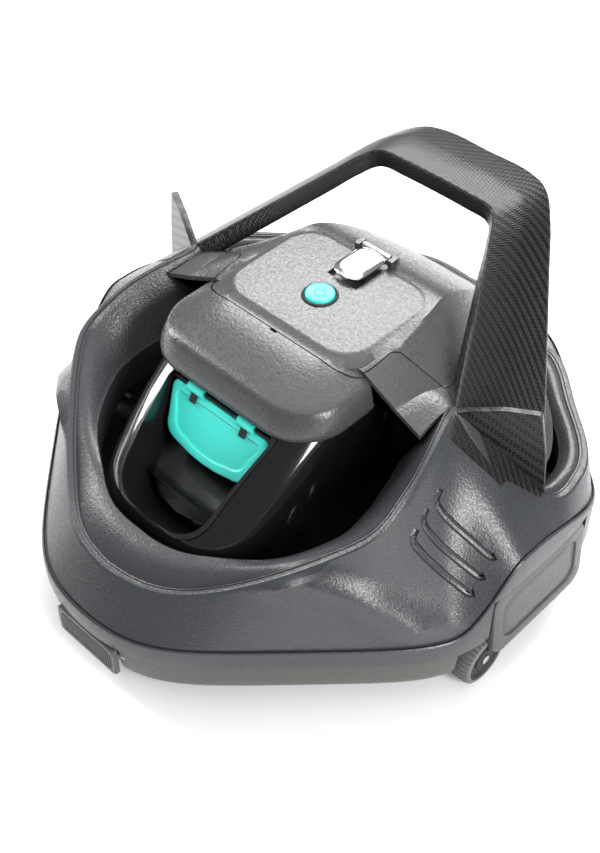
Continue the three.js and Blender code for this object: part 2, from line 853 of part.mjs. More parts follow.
function fin_geometry() {
  const inner = new THREE.Vector3(...handle_inner_foot);
  const outer = new THREE.Vector3(...handle_outer_foot);
  const tip = new THREE.Vector3(...fin_tip);
  const along = outer.clone().sub(inner);
  const normal = tip.clone().sub(inner).cross(along).normalize();
  const root = 10;
  const sink = new THREE.Vector3(0, 0, -root);
  const low_inner = inner.clone().add(sink);
  const low_outer = outer.clone().add(sink);
  const brow = inner.clone().lerp(tip, 0.55).add(new THREE.Vector3(0, 0, 2.5));
  const cheek = tip.clone().lerp(outer, 0.5).add(new THREE.Vector3(1.5, 0.8, 0));
  const outline = [inner, brow, tip, cheek, outer, low_outer, low_inner];
  const back = outline.map((p) => p.clone().addScaledVector(normal, fin_thickness));
  return loft([outline, back]);
}

function handle_geometry() {
  const half = handle_sections();
  const rings = half.map((section, i) => handle_ring(section, i / (half.length - 1)));
  const flip = (p) => new THREE.Vector3(-p.x, p.y, p.z);
  const other = rings.slice(0, -1).reverse().map((points) => points.map(flip));
  const bar = loft([...rings, ...other]);
  const fin = fin_geometry();
  const whole = join(bar, fin, mirrored(fin));
  const hull_below = hull_fill_geometry(part_gap);
  const deck_below = deck_geometry(90, part_gap);
  return main_piece(cut(whole, hull_below, deck_below));
}

// ---------------------------------------------------------------- side panels
function side_panel_geometry() {
  const length = panel_rear_y - panel_front_y;
  const height = panel_top - panel_bottom;
  const corner = 9;
  const outline = (inset) => {
    const shape = new THREE.Shape();
    const y0 = panel_front_y + inset;
    const y1 = panel_rear_y - inset;
    const z0 = panel_bottom + inset;
    const z1 = panel_top - (inset > 0 ? 2 : 0);
    shape.moveTo(y0, z1);
    shape.lineTo(y0, z0 + corner);
    shape.quadraticCurveTo(y0, z0, y0 + corner, z0);
    shape.lineTo(y1 - corner, z0);
    shape.quadraticCurveTo(y1, z0, y1, z0 + corner);
    shape.lineTo(y1, z1);
    return shape.getPoints(5);
  };
  const flare = (z) => (panel_flare * (panel_top - z)) / height;
  const bow = (y) => 3 * (1 - ((y - (panel_front_y + length / 2)) / (length / 2)) ** 2);
  const place = (x) => (p) => new THREE.Vector3(x + flare(p.y) + bow(p.x), p.x, p.y);
  const back = hull_half_width - panel_thickness + 1;
  const face = hull_half_width + 1;
  const slab = loft([outline(0).map(place(back)), outline(0).map(place(face))]);
  const recess = loft([outline(9).map(place(face - 1.2)), outline(8).map(place(face + 6))]);
  return cut(slab, recess);
}

// ---------------------------------------------------------------- latches
function latch_geometry(face_y, outward) {
  const half = latch_width / 2;
  const plate = rounded_slab(half, latch_height / 2, 3, latch_thickness, 3);
  plate.rotateX(Math.PI / 2);
  plate.translate(0, face_y + (outward < 0 ? latch_thickness : 0), latch_top - latch_height / 2);
  const barrel_y = latch_pin_y(face_y, outward);
  const barrel = rod(3, latch_width - 8, 'x', 0, barrel_y, latch_pin_z, 14);
  const bore = rod(latch_pin_radius + part_gap, latch_width + 4, 'x', 0, barrel_y, latch_pin_z, 12);
  return cut(join(plate, barrel), bore);
}

function latch_pin_geometry(face_y, outward) {
  return rod(latch_pin_radius, latch_width + 8, 'x', 0, latch_pin_y(face_y, outward), latch_pin_z, 12);
}

// ---------------------------------------------------------------- wheels
const wheel_sides = 18;

function lathe_about_x(profile) {
  const points = profile.map(([radius, along]) => new THREE.Vector2(radius, along));
  return new THREE.LatheGeometry(points, wheel_sides).rotateZ(Math.PI / 2);
}

function tyre_geometry() {
  const r = wheel_radius;
  const w = wheel_width / 2;
  const inner = r - tyre_thickness;
  return lathe_about_x([[inner, -w], [r - 1.5, -w], [r, 0], [r - 1.5, w], [inner, w], [inner, -w]]);
}

function hub_geometry() {
  const r = wheel_radius - tyre_thickness - 0.3;
  const w = wheel_width / 2 - 0.2;
  const bore = axle_radius + part_gap;
  return lathe_about_x([
    [bore, -w], [r, -w], [r, w], [r - 3, w], [bore + 3, w - 2.4], [bore, w - 2.4], [bore, -w],
  ]);
}

const axle_length = 28;
const axle_block_width = 6;

// Axle centre offset: each axle reaches from its wheel's outer face into a block on the tray.
function axle_middle(x) {
  const outer_face = Math.abs(x) + wheel_width / 2;
  return Math.sign(x) * (outer_face - axle_length / 2);
}

function axle_geometry() {
  return rod(axle_radius, axle_length, 'x', 0, 0, 0, 12);
}

function axle_blocks() {
  const offset = wheel_width / 2 + wheel_margin + axle_block_width / 2;
  return wheel_places().map(([, x, y]) => block(x - Math.sign(x) * offset, y, 23, axle_block_width, 16, 14));
}

function axle_bores() {
  return wheel_places().map(([, x, y]) => (
    rod(axle_radius + part_gap, axle_length + 4, 'x', axle_middle(x), y, wheel_radius, 12)));
}

// ---------------------------------------------------------------- pump and inside parts
const filter_height = 34;
const filter_frame_size = 62;

function impeller_geometry() {
  const hub = rod(7, impeller_height, 'z', 0, pump_y, 60, 16);
  const disc = rod(impeller_radius, 2, 'z', 0, pump_y, 60 + impeller_height / 2 - 1, 20);
  const blades = [];
  const blade_count = 6;
  for (let i = 0; i < blade_count; i += 1) {
    const blade = block(impeller_radius / 2 + 1, 0, 0, impeller_radius - 4, 2, impeller_height - 1);
    blade.rotateX(radians(18));
    blade.rotateZ((2 * Math.PI * i) / blade_count);
    blades.push(blade.translate(0, pump_y, 60));
  }
  const bore = rod(shaft_radius + 0.3, 40, 'z', 0, pump_y, 60, 16);
  return cut(join(hub, disc, ...blades), bore);
}

function motor_geometry() {
  const can = rod(motor_radius, motor_height, 'z', 0, pump_y, 74 + motor_height / 2, 20);
  const boss = rod(8, 5, 'z', 0, pump_y, 72);
  return cut(join(can, boss), rod(shaft_radius + 0.3, 24, 'z', 0, pump_y, 74, 16));
}

function motor_seat_geometry() {
  const seat = ring_tube(motor_radius + 6, motor_radius + part_gap, 12, 'z', 0, pump_y, 82);
  return seat;
}

function impeller_shroud_geometry() {
  return ring_tube(impeller_radius + 5, impeller_radius + 2, 18, 'z', 0, pump_y, 60);
}

function filter_frame_geometry() {
  const outer = rounded_slab(filter_frame_size, 54, 8, 5, 3);
  const inner = rounded_slab(filter_frame_size - 5, 49, 6, 9, 3).translate(0, 0, -2);
  return cut(outer, inner).translate(0, pump_y - 20, filter_height);
}

function filter_screen_geometry() {
  const screen = rounded_slab(filter_frame_size - 5.4, 48.6, 5.6, 1.2, 3).translate(0, 0, 2);
  return screen.translate(0, pump_y - 20, filter_height);
}

function battery_geometry() {
  const cell_radius = 9.2;
  const cell_length = 65;
  const cell_middle_z = 62;
  const first_row_y = 74;
  const pitch = 19;
  const cells = [];
  for (const row of [0, 1]) {
    for (let i = -2; i <= 2; i += 1) {
      cells.push(rod(cell_radius, cell_length, 'z', i * pitch, first_row_y + row * pitch, cell_middle_z, 12));
    }
  }
  const wrap = block(0, 74 + pitch / 2, 62, 4 * pitch, pitch, 60);
  return join(wrap, ...cells);
}

function inlet_flap_geometry() {
  const plate = block(0, (inlet_depth + 4) / 2, 0, inlet_width + 4, inlet_depth + 4, 1.6);
  const barrel = rod(2, inlet_width - 6, 'x', 0, 0, 1.2, 12);
  return join(plate, barrel);
}

const inlet_hinge_y = inlet_y - inlet_depth / 2 - 3;
const inlet_hinge_z = floor_clearance + tray_wall + 1.4;

function brush_geometry() {
  return block(0, 0, 0, inlet_width + 20, 5, 8);
}

// ---------------------------------------------------------------- assembly
const colours = {
  hull: material('#56595d', 0.5),
  visor: material('#6a6c6f', 0.42),
  tray: material('#5d5c58', 0.6),
  pod: material('#08080a', 0.12),
  duct: material('#101114', 0.25),
  teal: material('#35cfc3', 0.35),
  chrome: material('#d8dadc', 0.12, 1),
  carbon: material('#1c1d20', 0.3),
  rubber: material('#17181a', 0.8),
  wheel: material('#8c8e90', 0.55),
  steel: material('#a9adb2', 0.3, 1),
  inside: material('#2b2d30', 0.6),
  battery: material('#2f5f8f', 0.5),
};

const machine = new THREE.Group();
machine.position.set(0, centre_shift, 0);

function add(name, geometry, finish, x = 0, y = 0, z = 0) {
  const mesh = new THREE.Mesh(geometry, finish);
  mesh.name = name;
  mesh.position.set(x, y, z);
  machine.add(mesh);
}

const sides = [['right', 1], ['left', -1]];

function add_hull() {
  const bonnet = bonnet_geometry();
  add('upper_shell', upper_shell_geometry(), colours.hull);
  add('lower_tray', tray_geometry(), colours.tray);
  add('rear_cover', rear_cover_geometry(bonnet), colours.visor);
  add('front_visor', front_visor_geometry(bonnet), colours.visor);
  add('carry_handle', handle_geometry(), colours.carbon);
}

function add_pod() {
  add('pump_pod', pod_geometry(), colours.pod);
  add('outlet_duct', duct_geometry(), colours.duct);
  add('outlet_flap', flap_geometry(), colours.teal);
  add('outlet_flap_pin', flap_pin_geometry(), colours.steel);
}

function add_controls() {
  add('power_button', button_geometry(), colours.teal);
  add('button_ring', button_ring_geometry(), colours.rubber);
  add('button_spring', button_spring_geometry(), colours.steel);
  add('charge_flap', tab_geometry(), colours.chrome);
  add('charge_flap_pin', tab_pin_geometry(), colours.steel);
  add('charge_socket', socket_geometry(), colours.rubber);
  for (const [name, side] of sides) {
    add(`charge_contact_${name}`, contact_geometry(side), colours.steel);
    add(`charge_hinge_block_${name}`, tab_hinge_block_geometry(side), colours.visor);
  }
}

function add_sides() {
  const panel = side_panel_geometry();
  add('side_panel_right', panel, colours.hull);
  add('side_panel_left', mirrored(panel), colours.hull);
}

function add_latches() {
  add('front_latch', latch_geometry(front_latch_y, -1), colours.tray);
  add('front_latch_pin', latch_pin_geometry(front_latch_y, -1), colours.steel);
  add('rear_latch', latch_geometry(rear_latch_y, 1), colours.tray);
  add('rear_latch_pin', latch_pin_geometry(rear_latch_y, 1), colours.steel);
}

function add_wheels() {
  for (const [name, x, y] of wheel_places()) {
    add(`tyre_${name}`, tyre_geometry(), colours.wheel, x, y, wheel_radius);
    add(`wheel_hub_${name}`, hub_geometry(), colours.rubber, x, y, wheel_radius);
    add(`axle_${name}`, axle_geometry(), colours.steel, axle_middle(x), y, wheel_radius);
  }
}

function add_pump() {
  add('impeller', impeller_geometry(), colours.inside);
  add('motor', motor_geometry(), colours.steel);
  add('motor_shaft', rod(shaft_radius, 30, 'z', 0, pump_y, 69, 16), colours.steel);
  add('motor_seat', motor_seat_geometry(), colours.inside);
  add('impeller_shroud', impeller_shroud_geometry(), colours.inside);
  add('filter_frame', filter_frame_geometry(), colours.inside);
  add('filter_screen', filter_screen_geometry(), colours.steel);
  add('battery_pack', battery_geometry(), colours.battery);
  const board = block(0, 34, 132, 60, 30, 1.6);
  add('control_board', board, colours.teal);
  for (const [name, side] of sides) {
    const flap = inlet_flap_geometry();
    add(`inlet_flap_${name}`, flap, colours.rubber, side * inlet_x, inlet_hinge_y, inlet_hinge_z);
    add(`float_block_${name}`, block(side * 118, 20, 57, 34, 62, 30), colours.inside);
    const brush = brush_geometry();
    add(`intake_brush_${name}`, brush, colours.rubber, side * inlet_x, inlet_y + brush_offset, brush_z);
  }
}

add_hull();
add_pod();
add_controls();
add_sides();
add_latches();
add_wheels();
add_pump();

export default machine;
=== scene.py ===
import json
import math

import bmesh
import bpy
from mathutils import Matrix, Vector
from mathutils.bvhtree import BVHTree


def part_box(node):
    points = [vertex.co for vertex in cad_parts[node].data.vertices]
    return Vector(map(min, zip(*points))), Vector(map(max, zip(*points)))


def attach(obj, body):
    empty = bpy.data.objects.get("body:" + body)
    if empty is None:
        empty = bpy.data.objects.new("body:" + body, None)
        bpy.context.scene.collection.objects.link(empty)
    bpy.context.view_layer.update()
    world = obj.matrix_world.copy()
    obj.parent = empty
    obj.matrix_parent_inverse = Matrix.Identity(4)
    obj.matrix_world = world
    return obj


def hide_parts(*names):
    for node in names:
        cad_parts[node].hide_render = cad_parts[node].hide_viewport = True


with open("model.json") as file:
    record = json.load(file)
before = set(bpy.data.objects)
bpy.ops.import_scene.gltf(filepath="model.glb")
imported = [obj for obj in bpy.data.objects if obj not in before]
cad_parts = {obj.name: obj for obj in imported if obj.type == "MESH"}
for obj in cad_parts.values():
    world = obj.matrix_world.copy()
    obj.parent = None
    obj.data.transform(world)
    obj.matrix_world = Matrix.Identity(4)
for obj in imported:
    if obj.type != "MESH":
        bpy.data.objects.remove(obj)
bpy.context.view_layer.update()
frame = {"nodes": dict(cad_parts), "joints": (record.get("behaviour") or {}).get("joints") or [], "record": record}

MM = 0.001

# ---- hull planform, in millimetres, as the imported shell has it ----
HULL_FRONT = 205
HULL_REAR = 178
HULL_SIDE = 172
FLATS = [(0, HULL_FRONT), (45, 174.6), (-45, 174.6), (90, HULL_SIDE), (-90, HULL_SIDE),
         (135, 159), (-135, 159), (180, HULL_REAR)]
CORNER_SHARPNESS = 16
CENTRE_SHIFT = (HULL_FRONT - HULL_REAR) / 2
SEAM_Z = 41
SKIRT_Z = 56
ARCH_RISE = 38
TRAY_BOTTOM = 17
WALL = 3
RIM = 4
WELL_DROP = 22
STATION_STEP = 1.5
PANEL_SLOT = 1.8         # left open at each end of a side panel

# [angle from the front, crest inset, crest height, well inset, well height]
LOOP_ROWS = [
    (0, 20, 80, 27, 90), (16, 22, 82, 22, 91), (31, 19, 98, 17, 96), (45, 20, 117, 24, 103),
    (52, 25, 126, 32, 107), (60, 42, 137, 33, 111), (69, 59, 145, 29, 115), (80, 68, 150, 17, 119),
    (84, 65, 150, 17, 118), (93, 18, 104, 16, 100), (104, 10, 99, 16, 95), (124, 14, 99, 16, 95),
    (141, 17, 99, 16, 95), (153, 34, 99, 16, 95), (167, 40, 99, 16, 95), (180, 43, 99, 16, 95),
]


# ------------------------------------------------------------------ mesh helpers
def placed(name, data):
    thing = bpy.data.objects.new(name, data)
    bpy.context.scene.collection.objects.link(thing)
    return thing


def to_frame(point):
    """Millimetres about the hull's centre, to metres in the row frame."""
    x, y, z = point
    return (x * MM, (y + CENTRE_SHIFT) * MM, z * MM)


def mesh_piece(name, points, faces):
    mesh = bpy.data.meshes.new(name)
    mesh.from_pydata([to_frame(p) for p in points], [], faces)
    mesh.validate()
    tidy = bmesh.new()
    tidy.from_mesh(mesh)
    bmesh.ops.remove_doubles(tidy, verts=tidy.verts, dist=1e-6)
    bmesh.ops.recalc_face_normals(tidy, faces=tidy.faces)
    if tidy.calc_volume(signed=True) < 0:
        bmesh.ops.reverse_faces(tidy, faces=tidy.faces)
    tidy.to_mesh(mesh)
    tidy.free()
    return placed(name, mesh)


def loft_faces(ring_count, count, wrap):
    faces = []
    last = ring_count if wrap else ring_count - 1
    for r in range(last):
        here = r * count
        after = ((r + 1) % ring_count) * count
        for i in range(count):
            j = (i + 1) % count
            faces.append((here + i, here + j, after + j, after + i))
    return faces


def loft(name, rings, wrap=False):
    count = len(rings[0])
    points = [tuple(p) for ring in rings for p in ring]
    faces = loft_faces(len(rings), count, wrap)
    if not wrap:
        for start in (0, (len(rings) - 1) * count):
            middle = [sum(points[start + i][k] for i in range(count)) / count for k in range(3)]
            points.append(tuple(middle))
            centre = len(points) - 1
            faces += [(centre, start + i, start + (i + 1) % count) for i in range(count)]
    return mesh_piece(name, points, faces)


def block(name, low, high):
    """A box between two corners, in millimetres about the hull's centre."""
    ring = [(0, 0), (1, 0), (1, 1), (0, 1)]
    rows = []
    for k in (0, 1):
        z = (low[2], high[2])[k]
        rows.append([((low[0], high[0])[a], (low[1], high[1])[b], z) for a, b in ring])
    return loft(name, rows)


def node_block(name, node, margins):
    """A cutter that covers a CAD node, grown by margins (x, y, below, above) in millimetres."""
    low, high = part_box(node)
    mx, my, below, above = margins
    low = (low.x / MM - mx, low.y / MM - CENTRE_SHIFT - my, low.z / MM - below)
    high = (high.x / MM + mx, high.y / MM - CENTRE_SHIFT + my, high.z / MM + above)
    return block(name, low, high)


def boolean(piece, cutter, operation="DIFFERENCE"):
    """The cutter is used up."""
    change = piece.modifiers.new("cut", "BOOLEAN")
    change.object = cutter
    change.operation = operation
    change.solver = "MANIFOLD"
    bake(piece)
    bpy.data.objects.remove(cutter)


def bake(piece):
    """The modified mesh becomes the piece's own mesh."""
    bpy.context.view_layer.update()
    graph = bpy.context.evaluated_depsgraph_get()
    mesh = bpy.data.meshes.new_from_object(piece.evaluated_get(graph))
    piece.modifiers.clear()
    piece.data = mesh


def copy_of(piece, name):
    return placed(name, piece.data.copy())


def joined(first, *others):
    """The other pieces' meshes are added to the first."""
    mesh = bmesh.new()
    mesh.from_mesh(first.data)
    for other in others:
        mesh.from_mesh(other.data)
        bpy.data.objects.remove(other)
    mesh.to_mesh(first.data)
    mesh.free()
    return first


def soften(piece, width, segments=2, angle=30):
    bevel = piece.modifiers.new("edges", "BEVEL")
    bevel.width = width * MM
    bevel.segments = segments
    bevel.limit_method = "ANGLE"
    bevel.angle_limit = math.radians(angle)
    bevel.harden_normals = False
    return piece


def smooth(piece, angle=32):
    piece.data.shade_smooth()
    piece.data.set_sharp_from_angle(angle=math.radians(angle))


def close_pinholes(piece):
    """Invalid faces that a boolean leaves are dropped, and open edges are filled."""
    piece.data.validate()
    mesh = bmesh.new()
    mesh.from_mesh(piece.data)
    gaps = [edge for edge in mesh.edges if edge.is_boundary]
    if gaps:
        bmesh.ops.holes_fill(mesh, edges=gaps, sides=0)
        mesh.to_mesh(piece.data)
    mesh.free()


def dress(piece, finish, body, nodes=(), angle=32):
    """Material, shading, body and the CAD nodes the piece stands for."""
    close_pinholes(piece)
    piece.data.materials.clear()
    piece.data.materials.append(finish)
    smooth(piece, angle)
    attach(piece, body)
    if nodes:
        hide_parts(*nodes)
    return piece


def between(a, b, t):
    return tuple(a[k] + (b[k] - a[k]) * t for k in range(len(a)))


def smooth_value(rows, at, column):
    """Smooth value of one column of a table, at a first-column value."""
    i = 0
    while i < len(rows) - 2 and at > rows[i + 1][0]:
        i += 1
    before, start = rows[max(i - 1, 0)], rows[i]
    end, after = rows[i + 1], rows[min(i + 2, len(rows) - 1)]
    span = end[0] - start[0]
    t = (at - start[0]) / span
    slope_0 = (end[column] - before[column]) / (end[0] - before[0]) * span
    slope_1 = (after[column] - start[column]) / (after[0] - start[0]) * span
    return ((2 * t ** 3 - 3 * t ** 2 + 1) * start[column] + (t ** 3 - 2 * t ** 2 + t) * slope_0
            + (-2 * t ** 3 + 3 * t ** 2) * end[column] + (t ** 3 - t ** 2) * slope_1)


def smooth_rows(rows, steps):
    """Extra rows of points between the given rows, on smooth curves."""
    out = []
    for i in range(len(rows) - 1):
        before, start = rows[max(i - 1, 0)], rows[i]
        end, after = rows[i + 1], rows[min(i + 2, len(rows) - 1)]
        for s in range(steps):
            t = s / steps
            row = []
            for p0, p1, p2, p3 in zip(before, start, end, after):
                row.append(tuple(
                    0.5 * (2 * p1[k] + (p2[k] - p0[k]) * t
                           + (2 * p0[k] - 5 * p1[k] + 4 * p2[k] - p3[k]) * t * t
                           + (3 * p1[k] - p0[k] - 3 * p2[k] + p3[k]) * t ** 3)
                    for k in range(3)))
            out.append(row)
    out.append(list(rows[-1]))
    return out


def smoothstep(x, low, high):
    t = min(max((x - low) / (high - low), 0), 1)
    return t * t * (3 - 2 * t)


def rounded_rectangle(half_x, half_y, radius, steps=9):
    """Corner by corner, anticlockwise from the -Y side, as (x, y)."""
    radius = min(radius, half_x, half_y)
    points = []
    for quarter, (sx, sy) in enumerate([(1, -1), (1, 1), (-1, 1), (-1, -1)]):
        for i in range(steps + 1):
            turn = (quarter - 1 + i / steps) * math.pi / 2
            points.append((sx * (half_x - radius) + radius * math.cos(turn),
                           sy * (half_y - radius) + radius * math.sin(turn)))
    return points


def rounded_ring(ring, radius, steps=4):
    """Each corner of a closed ring of points becomes a small curve."""
    out = []
    count = len(ring)
    for i in range(count):
        here = Vector(ring[i])
        back = Vector(ring[i - 1]) - here
        ahead = Vector(ring[(i + 1) % count]) - here
        r_back = min(radius, back.length * 0.45)
        r_ahead = min(radius, ahead.length * 0.45)
        p0 = here + back.normalized() * r_back
        p2 = here + ahead.normalized() * r_ahead
        for s in range(steps + 1):
            t = s / steps
            out.append(tuple(p0 * (1 - t) ** 2 + here * (2 * t * (1 - t)) + p2 * t ** 2))
    return out


def tube(name, path, radius, sides=10, closed=False):
    """A round bar along a path of points."""
    rings = []
    count = len(path)
    for i, point in enumerate(path):
        ahead = Vector(path[(i + 1) % count]) if closed or i < count - 1 else Vector(point)
        back = Vector(path[i - 1]) if closed or i > 0 else Vector(point)
        along = (ahead - back).normalized()
        side = along.cross(Vector((0, 0, 1)))
        if side.length < 0.01:
            side = Vector((1, 0, 0))
        side.normalize()
        up = side.cross(along).normalized()
        rings.append([tuple(Vector(point) + (side * math.cos(a) + up * math.sin(a)) * radius)
                      for a in [2 * math.pi * k / sides for k in range(sides)]])
    return loft(name, rings, wrap=closed)


# ------------------------------------------------------------------ materials
def node(tree, kind, **values):
    made = tree.nodes.new(kind)
    for key, value in values.items():
        if key in made.inputs.keys():
            made.inputs[key].default_value = value
        else:
            setattr(made, key, value)
    return made


def ranged(tree, value, goal, low, high, start=0.0, end=1.0):
    """A texture value from start to end drives the goal from low to high."""
    spread = node(tree, "ShaderNodeMapRange")
    limits = {"From Min": start, "From Max": end, "To Min": low, "To Max": high}
    for key, number in limits.items():
        spread.inputs[key].default_value = number
    tree.links.new(value, spread.inputs["Value"])
    tree.links.new(spread.outputs["Result"], goal)


def roughened(tree, shader, height, strength, distance):
    bump = node(tree, "ShaderNodeBump", Strength=strength, Distance=distance)
    tree.links.new(height, bump.inputs["Height"])
    tree.links.new(bump.outputs["Normal"], shader.inputs["Normal"])


def base_material(name, slot, colour, roughness, metallic=0.0, coat=0.0):
    finish = bpy.data.materials.new(name)
    finish.use_nodes = True
    finish["slot"] = slot
    tree = finish.node_tree
    shader = tree.nodes["Principled BSDF"]
    shader.inputs["Base Color"].default_value = (*colour, 1)
    shader.inputs["Roughness"].default_value = roughness
    shader.inputs["Metallic"].default_value = metallic
    shader.inputs["Coat Weight"].default_value = coat
    return finish, tree, shader


def grain(tree, shader, colour, roughness, fine=900, fine_depth=0.2, mottle=0.12, spread=0.1):
    """Moulded grain: fine pebbles in the bump, soft blotches in colour and roughness."""
    place = node(tree, "ShaderNodeTexCoord")
    pebbles = node(tree, "ShaderNodeTexVoronoi", Scale=fine)
    pebbles.feature = "SMOOTH_F1"
    specks = node(tree, "ShaderNodeTexNoise", Scale=fine * 0.8, Detail=2.0)
    blotch = node(tree, "ShaderNodeTexNoise", Scale=9.0, Detail=4.0)
    for texture in (pebbles, specks, blotch):
        tree.links.new(place.outputs["Object"], texture.inputs["Vector"])
    mix = node(tree, "ShaderNodeMath", operation="ADD")
    tree.links.new(pebbles.outputs["Distance"], mix.inputs[0])
    tree.links.new(specks.outputs["Fac"], mix.inputs[1])
    roughened(tree, shader, mix.outputs[0], fine_depth, 0.0006)
    shade = node(tree, "ShaderNodeVectorMath", operation="SCALE")
    shade.inputs[0].default_value = colour
    ranged(tree, blotch.outputs["Fac"], shade.inputs["Scale"], 1 - mottle, 1 + mottle, 0.3, 0.7)
    tree.links.new(shade.outputs["Vector"], shader.inputs["Base Color"])
    gloss = shader.inputs["Roughness"]
    ranged(tree, specks.outputs["Fac"], gloss, roughness - spread, roughness + spread, 0.3, 0.7)


def grained(name, slot, colour, roughness, coat=0.0, **detail):
    finish, tree, shader = base_material(name, slot, colour, roughness, coat=coat)
    grain(tree, shader, colour, roughness, **detail)
    return finish


def gloss_material(name, slot, colour, roughness):
    """Polished plastic with faint wipe marks in its gloss."""
    finish, tree, shader = base_material(name, slot, colour, roughness, coat=0.6)
    place = node(tree, "ShaderNodeTexCoord")
    marks = node(tree, "ShaderNodeTexNoise", Scale=30.0, Detail=6.0, Roughness=0.7)
    tree.links.new(place.outputs["Object"], marks.inputs["Vector"])
    gloss = shader.inputs["Roughness"]
    ranged(tree, marks.outputs["Fac"], gloss, roughness, roughness + 0.08, 0.35, 0.75)
    shader.inputs["Coat Roughness"].default_value = 0.06
    return finish


def brushed_material(name, slot, colour, roughness, stretch=(40, 2500, 2500)):
    """Metal with fine lines along X."""
    finish, tree, shader = base_material(name, slot, colour, roughness, metallic=1.0)
    place = node(tree, "ShaderNodeTexCoord")
    turn = node(tree, "ShaderNodeMapping")
    turn.inputs["Scale"].default_value = stretch
    lines = node(tree, "ShaderNodeTexNoise", Scale=1.0, Detail=3.0)
    tree.links.new(place.outputs["Object"], turn.inputs["Vector"])
    tree.links.new(turn.outputs["Vector"], lines.inputs["Vector"])
    roughened(tree, shader, lines.outputs["Fac"], 0.05, 0.0002)
    gloss = shader.inputs["Roughness"]
    ranged(tree, lines.outputs["Fac"], gloss, roughness - 0.05, roughness + 0.08)
    return finish


def math_node(tree, operation, first, second=None):
    made = node(tree, "ShaderNodeMath", operation=operation)
    for k, value in enumerate((first, second)):
        if value is None:
            continue
        if isinstance(value, (int, float)):
            made.inputs[k].default_value = value
        else:
            tree.links.new(value, made.inputs[k])
    return made.outputs[0]


def carbon_material(name, slot, thread=1.7):
    """Two-by-two twill under clear lacquer, with painted sheen on the warp tows and painted shade in the gaps
    between tows. The UV map runs in millimetres along and across.
    """
    finish, tree, shader = base_material(name, slot, (0.02, 0.02, 0.02), 0.36, coat=0.12)
    uv = node(tree, "ShaderNodeUVMap")
    uv.uv_map = "weave"
    split = node(tree, "ShaderNodeSeparateXYZ")
    tree.links.new(uv.outputs["UV"], split.inputs[0])
    along = math_node(tree, "DIVIDE", split.outputs["X"], thread)
    across = math_node(tree, "DIVIDE", split.outputs["Y"], thread)
    cell_a = math_node(tree, "FLOOR", along)
    cell_b = math_node(tree, "FLOOR", across)
    step = math_node(tree, "FLOORED_MODULO", math_node(tree, "ADD", cell_a, cell_b), 4.0)
    warp_on_top = math_node(tree, "LESS_THAN", step, 1.5)
    turn_a = math_node(tree, "MULTIPLY", math_node(tree, "FRACT", along), math.pi)
    crown_a = math_node(tree, "SINE", turn_a)
    turn_b = math_node(tree, "MULTIPLY", math_node(tree, "FRACT", across), math.pi)
    crown_b = math_node(tree, "SINE", turn_b)
    height = node(tree, "ShaderNodeMix")
    height.data_type = "FLOAT"
    tree.links.new(warp_on_top, height.inputs[0])
    tree.links.new(crown_a, height.inputs[2])
    tree.links.new(crown_b, height.inputs[3])
    # Painted sheen: the warp tows on top are painted ten times lighter than the weft tows of the same black fibre,
    # standing in for how the light catches them.
    painted_sheen_tow = node(tree, "ShaderNodeMix")
    painted_sheen_tow.data_type = "RGBA"
    painted_sheen_tow.inputs[6].default_value = (0.002, 0.002, 0.002, 1)
    painted_sheen_tow.inputs[7].default_value = (0.02, 0.02, 0.021, 1)
    tree.links.new(warp_on_top, painted_sheen_tow.inputs[0])
    # Painted shade: each tow's colour is multiplied by its crown profile, so it darkens towards its edges and
    # paints shade into the gaps between tows.
    shade = node(tree, "ShaderNodeMix")
    shade.data_type = "RGBA"
    shade.blend_type = "MULTIPLY"
    shade.inputs[0].default_value = 0.8
    tree.links.new(painted_sheen_tow.outputs[2], shade.inputs[6])
    tree.links.new(height.outputs[0], shade.inputs[7])
    tree.links.new(shade.outputs[2], shader.inputs["Base Color"])
    roughened(tree, shader, height.outputs[0], 0.35, 0.0004)
    shader.inputs["Coat Roughness"].default_value = 0.12
    shader.inputs["Specular IOR Level"].default_value = 0.3
    return finish


hull_finish = grained("hull_plastic", "hull", (0.034, 0.036, 0.039), 0.34, mottle=0.08)
visor_finish = grained("visor_plastic", "visor", (0.052, 0.053, 0.055), 0.3, fine=700, fine_depth=0.2,
                        mottle=0.05)
tray_finish = grained("tray_plastic", "tray", (0.062, 0.059, 0.054), 0.42, mottle=0.08)
panel_finish = grained("panel_plastic", "hull", (0.046, 0.046, 0.046), 0.4, mottle=0.05)
pod_finish = gloss_material("pod_gloss", "pod", (0.004, 0.004, 0.005), 0.09)
duct_finish = gloss_material("duct_gloss", "duct", (0.008, 0.008, 0.009), 0.22)
TEAL_GRAIN = {"fine": 2000, "fine_depth": 0.05, "mottle": 0.03}
teal_finish = grained("teal_plastic", "teal", (0.045, 0.66, 0.56), 0.36, **TEAL_GRAIN)
teal_deep = grained("teal_mark", "teal", (0.02, 0.36, 0.31), 0.5, **TEAL_GRAIN)
chrome_finish = brushed_material("chrome_tab", "chrome", (0.78, 0.79, 0.8), 0.13, stretch=(400, 30, 400))
steel_finish = brushed_material("steel_pins", "steel", (0.55, 0.56, 0.57), 0.3)
dark_steel = brushed_material("dark_steel", "steel", (0.03, 0.03, 0.031), 0.4)
carbon_finish = carbon_material("carbon_weave", "carbon")
rubber_finish = grained("rubber", "rubber", (0.016, 0.016, 0.017), 0.7, fine=1800, fine_depth=0.2)
wheel_finish = grained("wheel_plastic", "wheel", (0.1, 0.1, 0.098), 0.55, fine=1200, mottle=0.16)
inside_finish = grained("inside_plastic", "inside", (0.02, 0.02, 0.022), 0.6)
battery_finish = grained("battery_wrap", "battery", (0.03, 0.09, 0.22), 0.35, fine=400, fine_depth=0.1)
circuit_finish = grained("circuit_board", "circuit", (0.012, 0.12, 0.06), 0.4, fine=300, fine_depth=0.3)


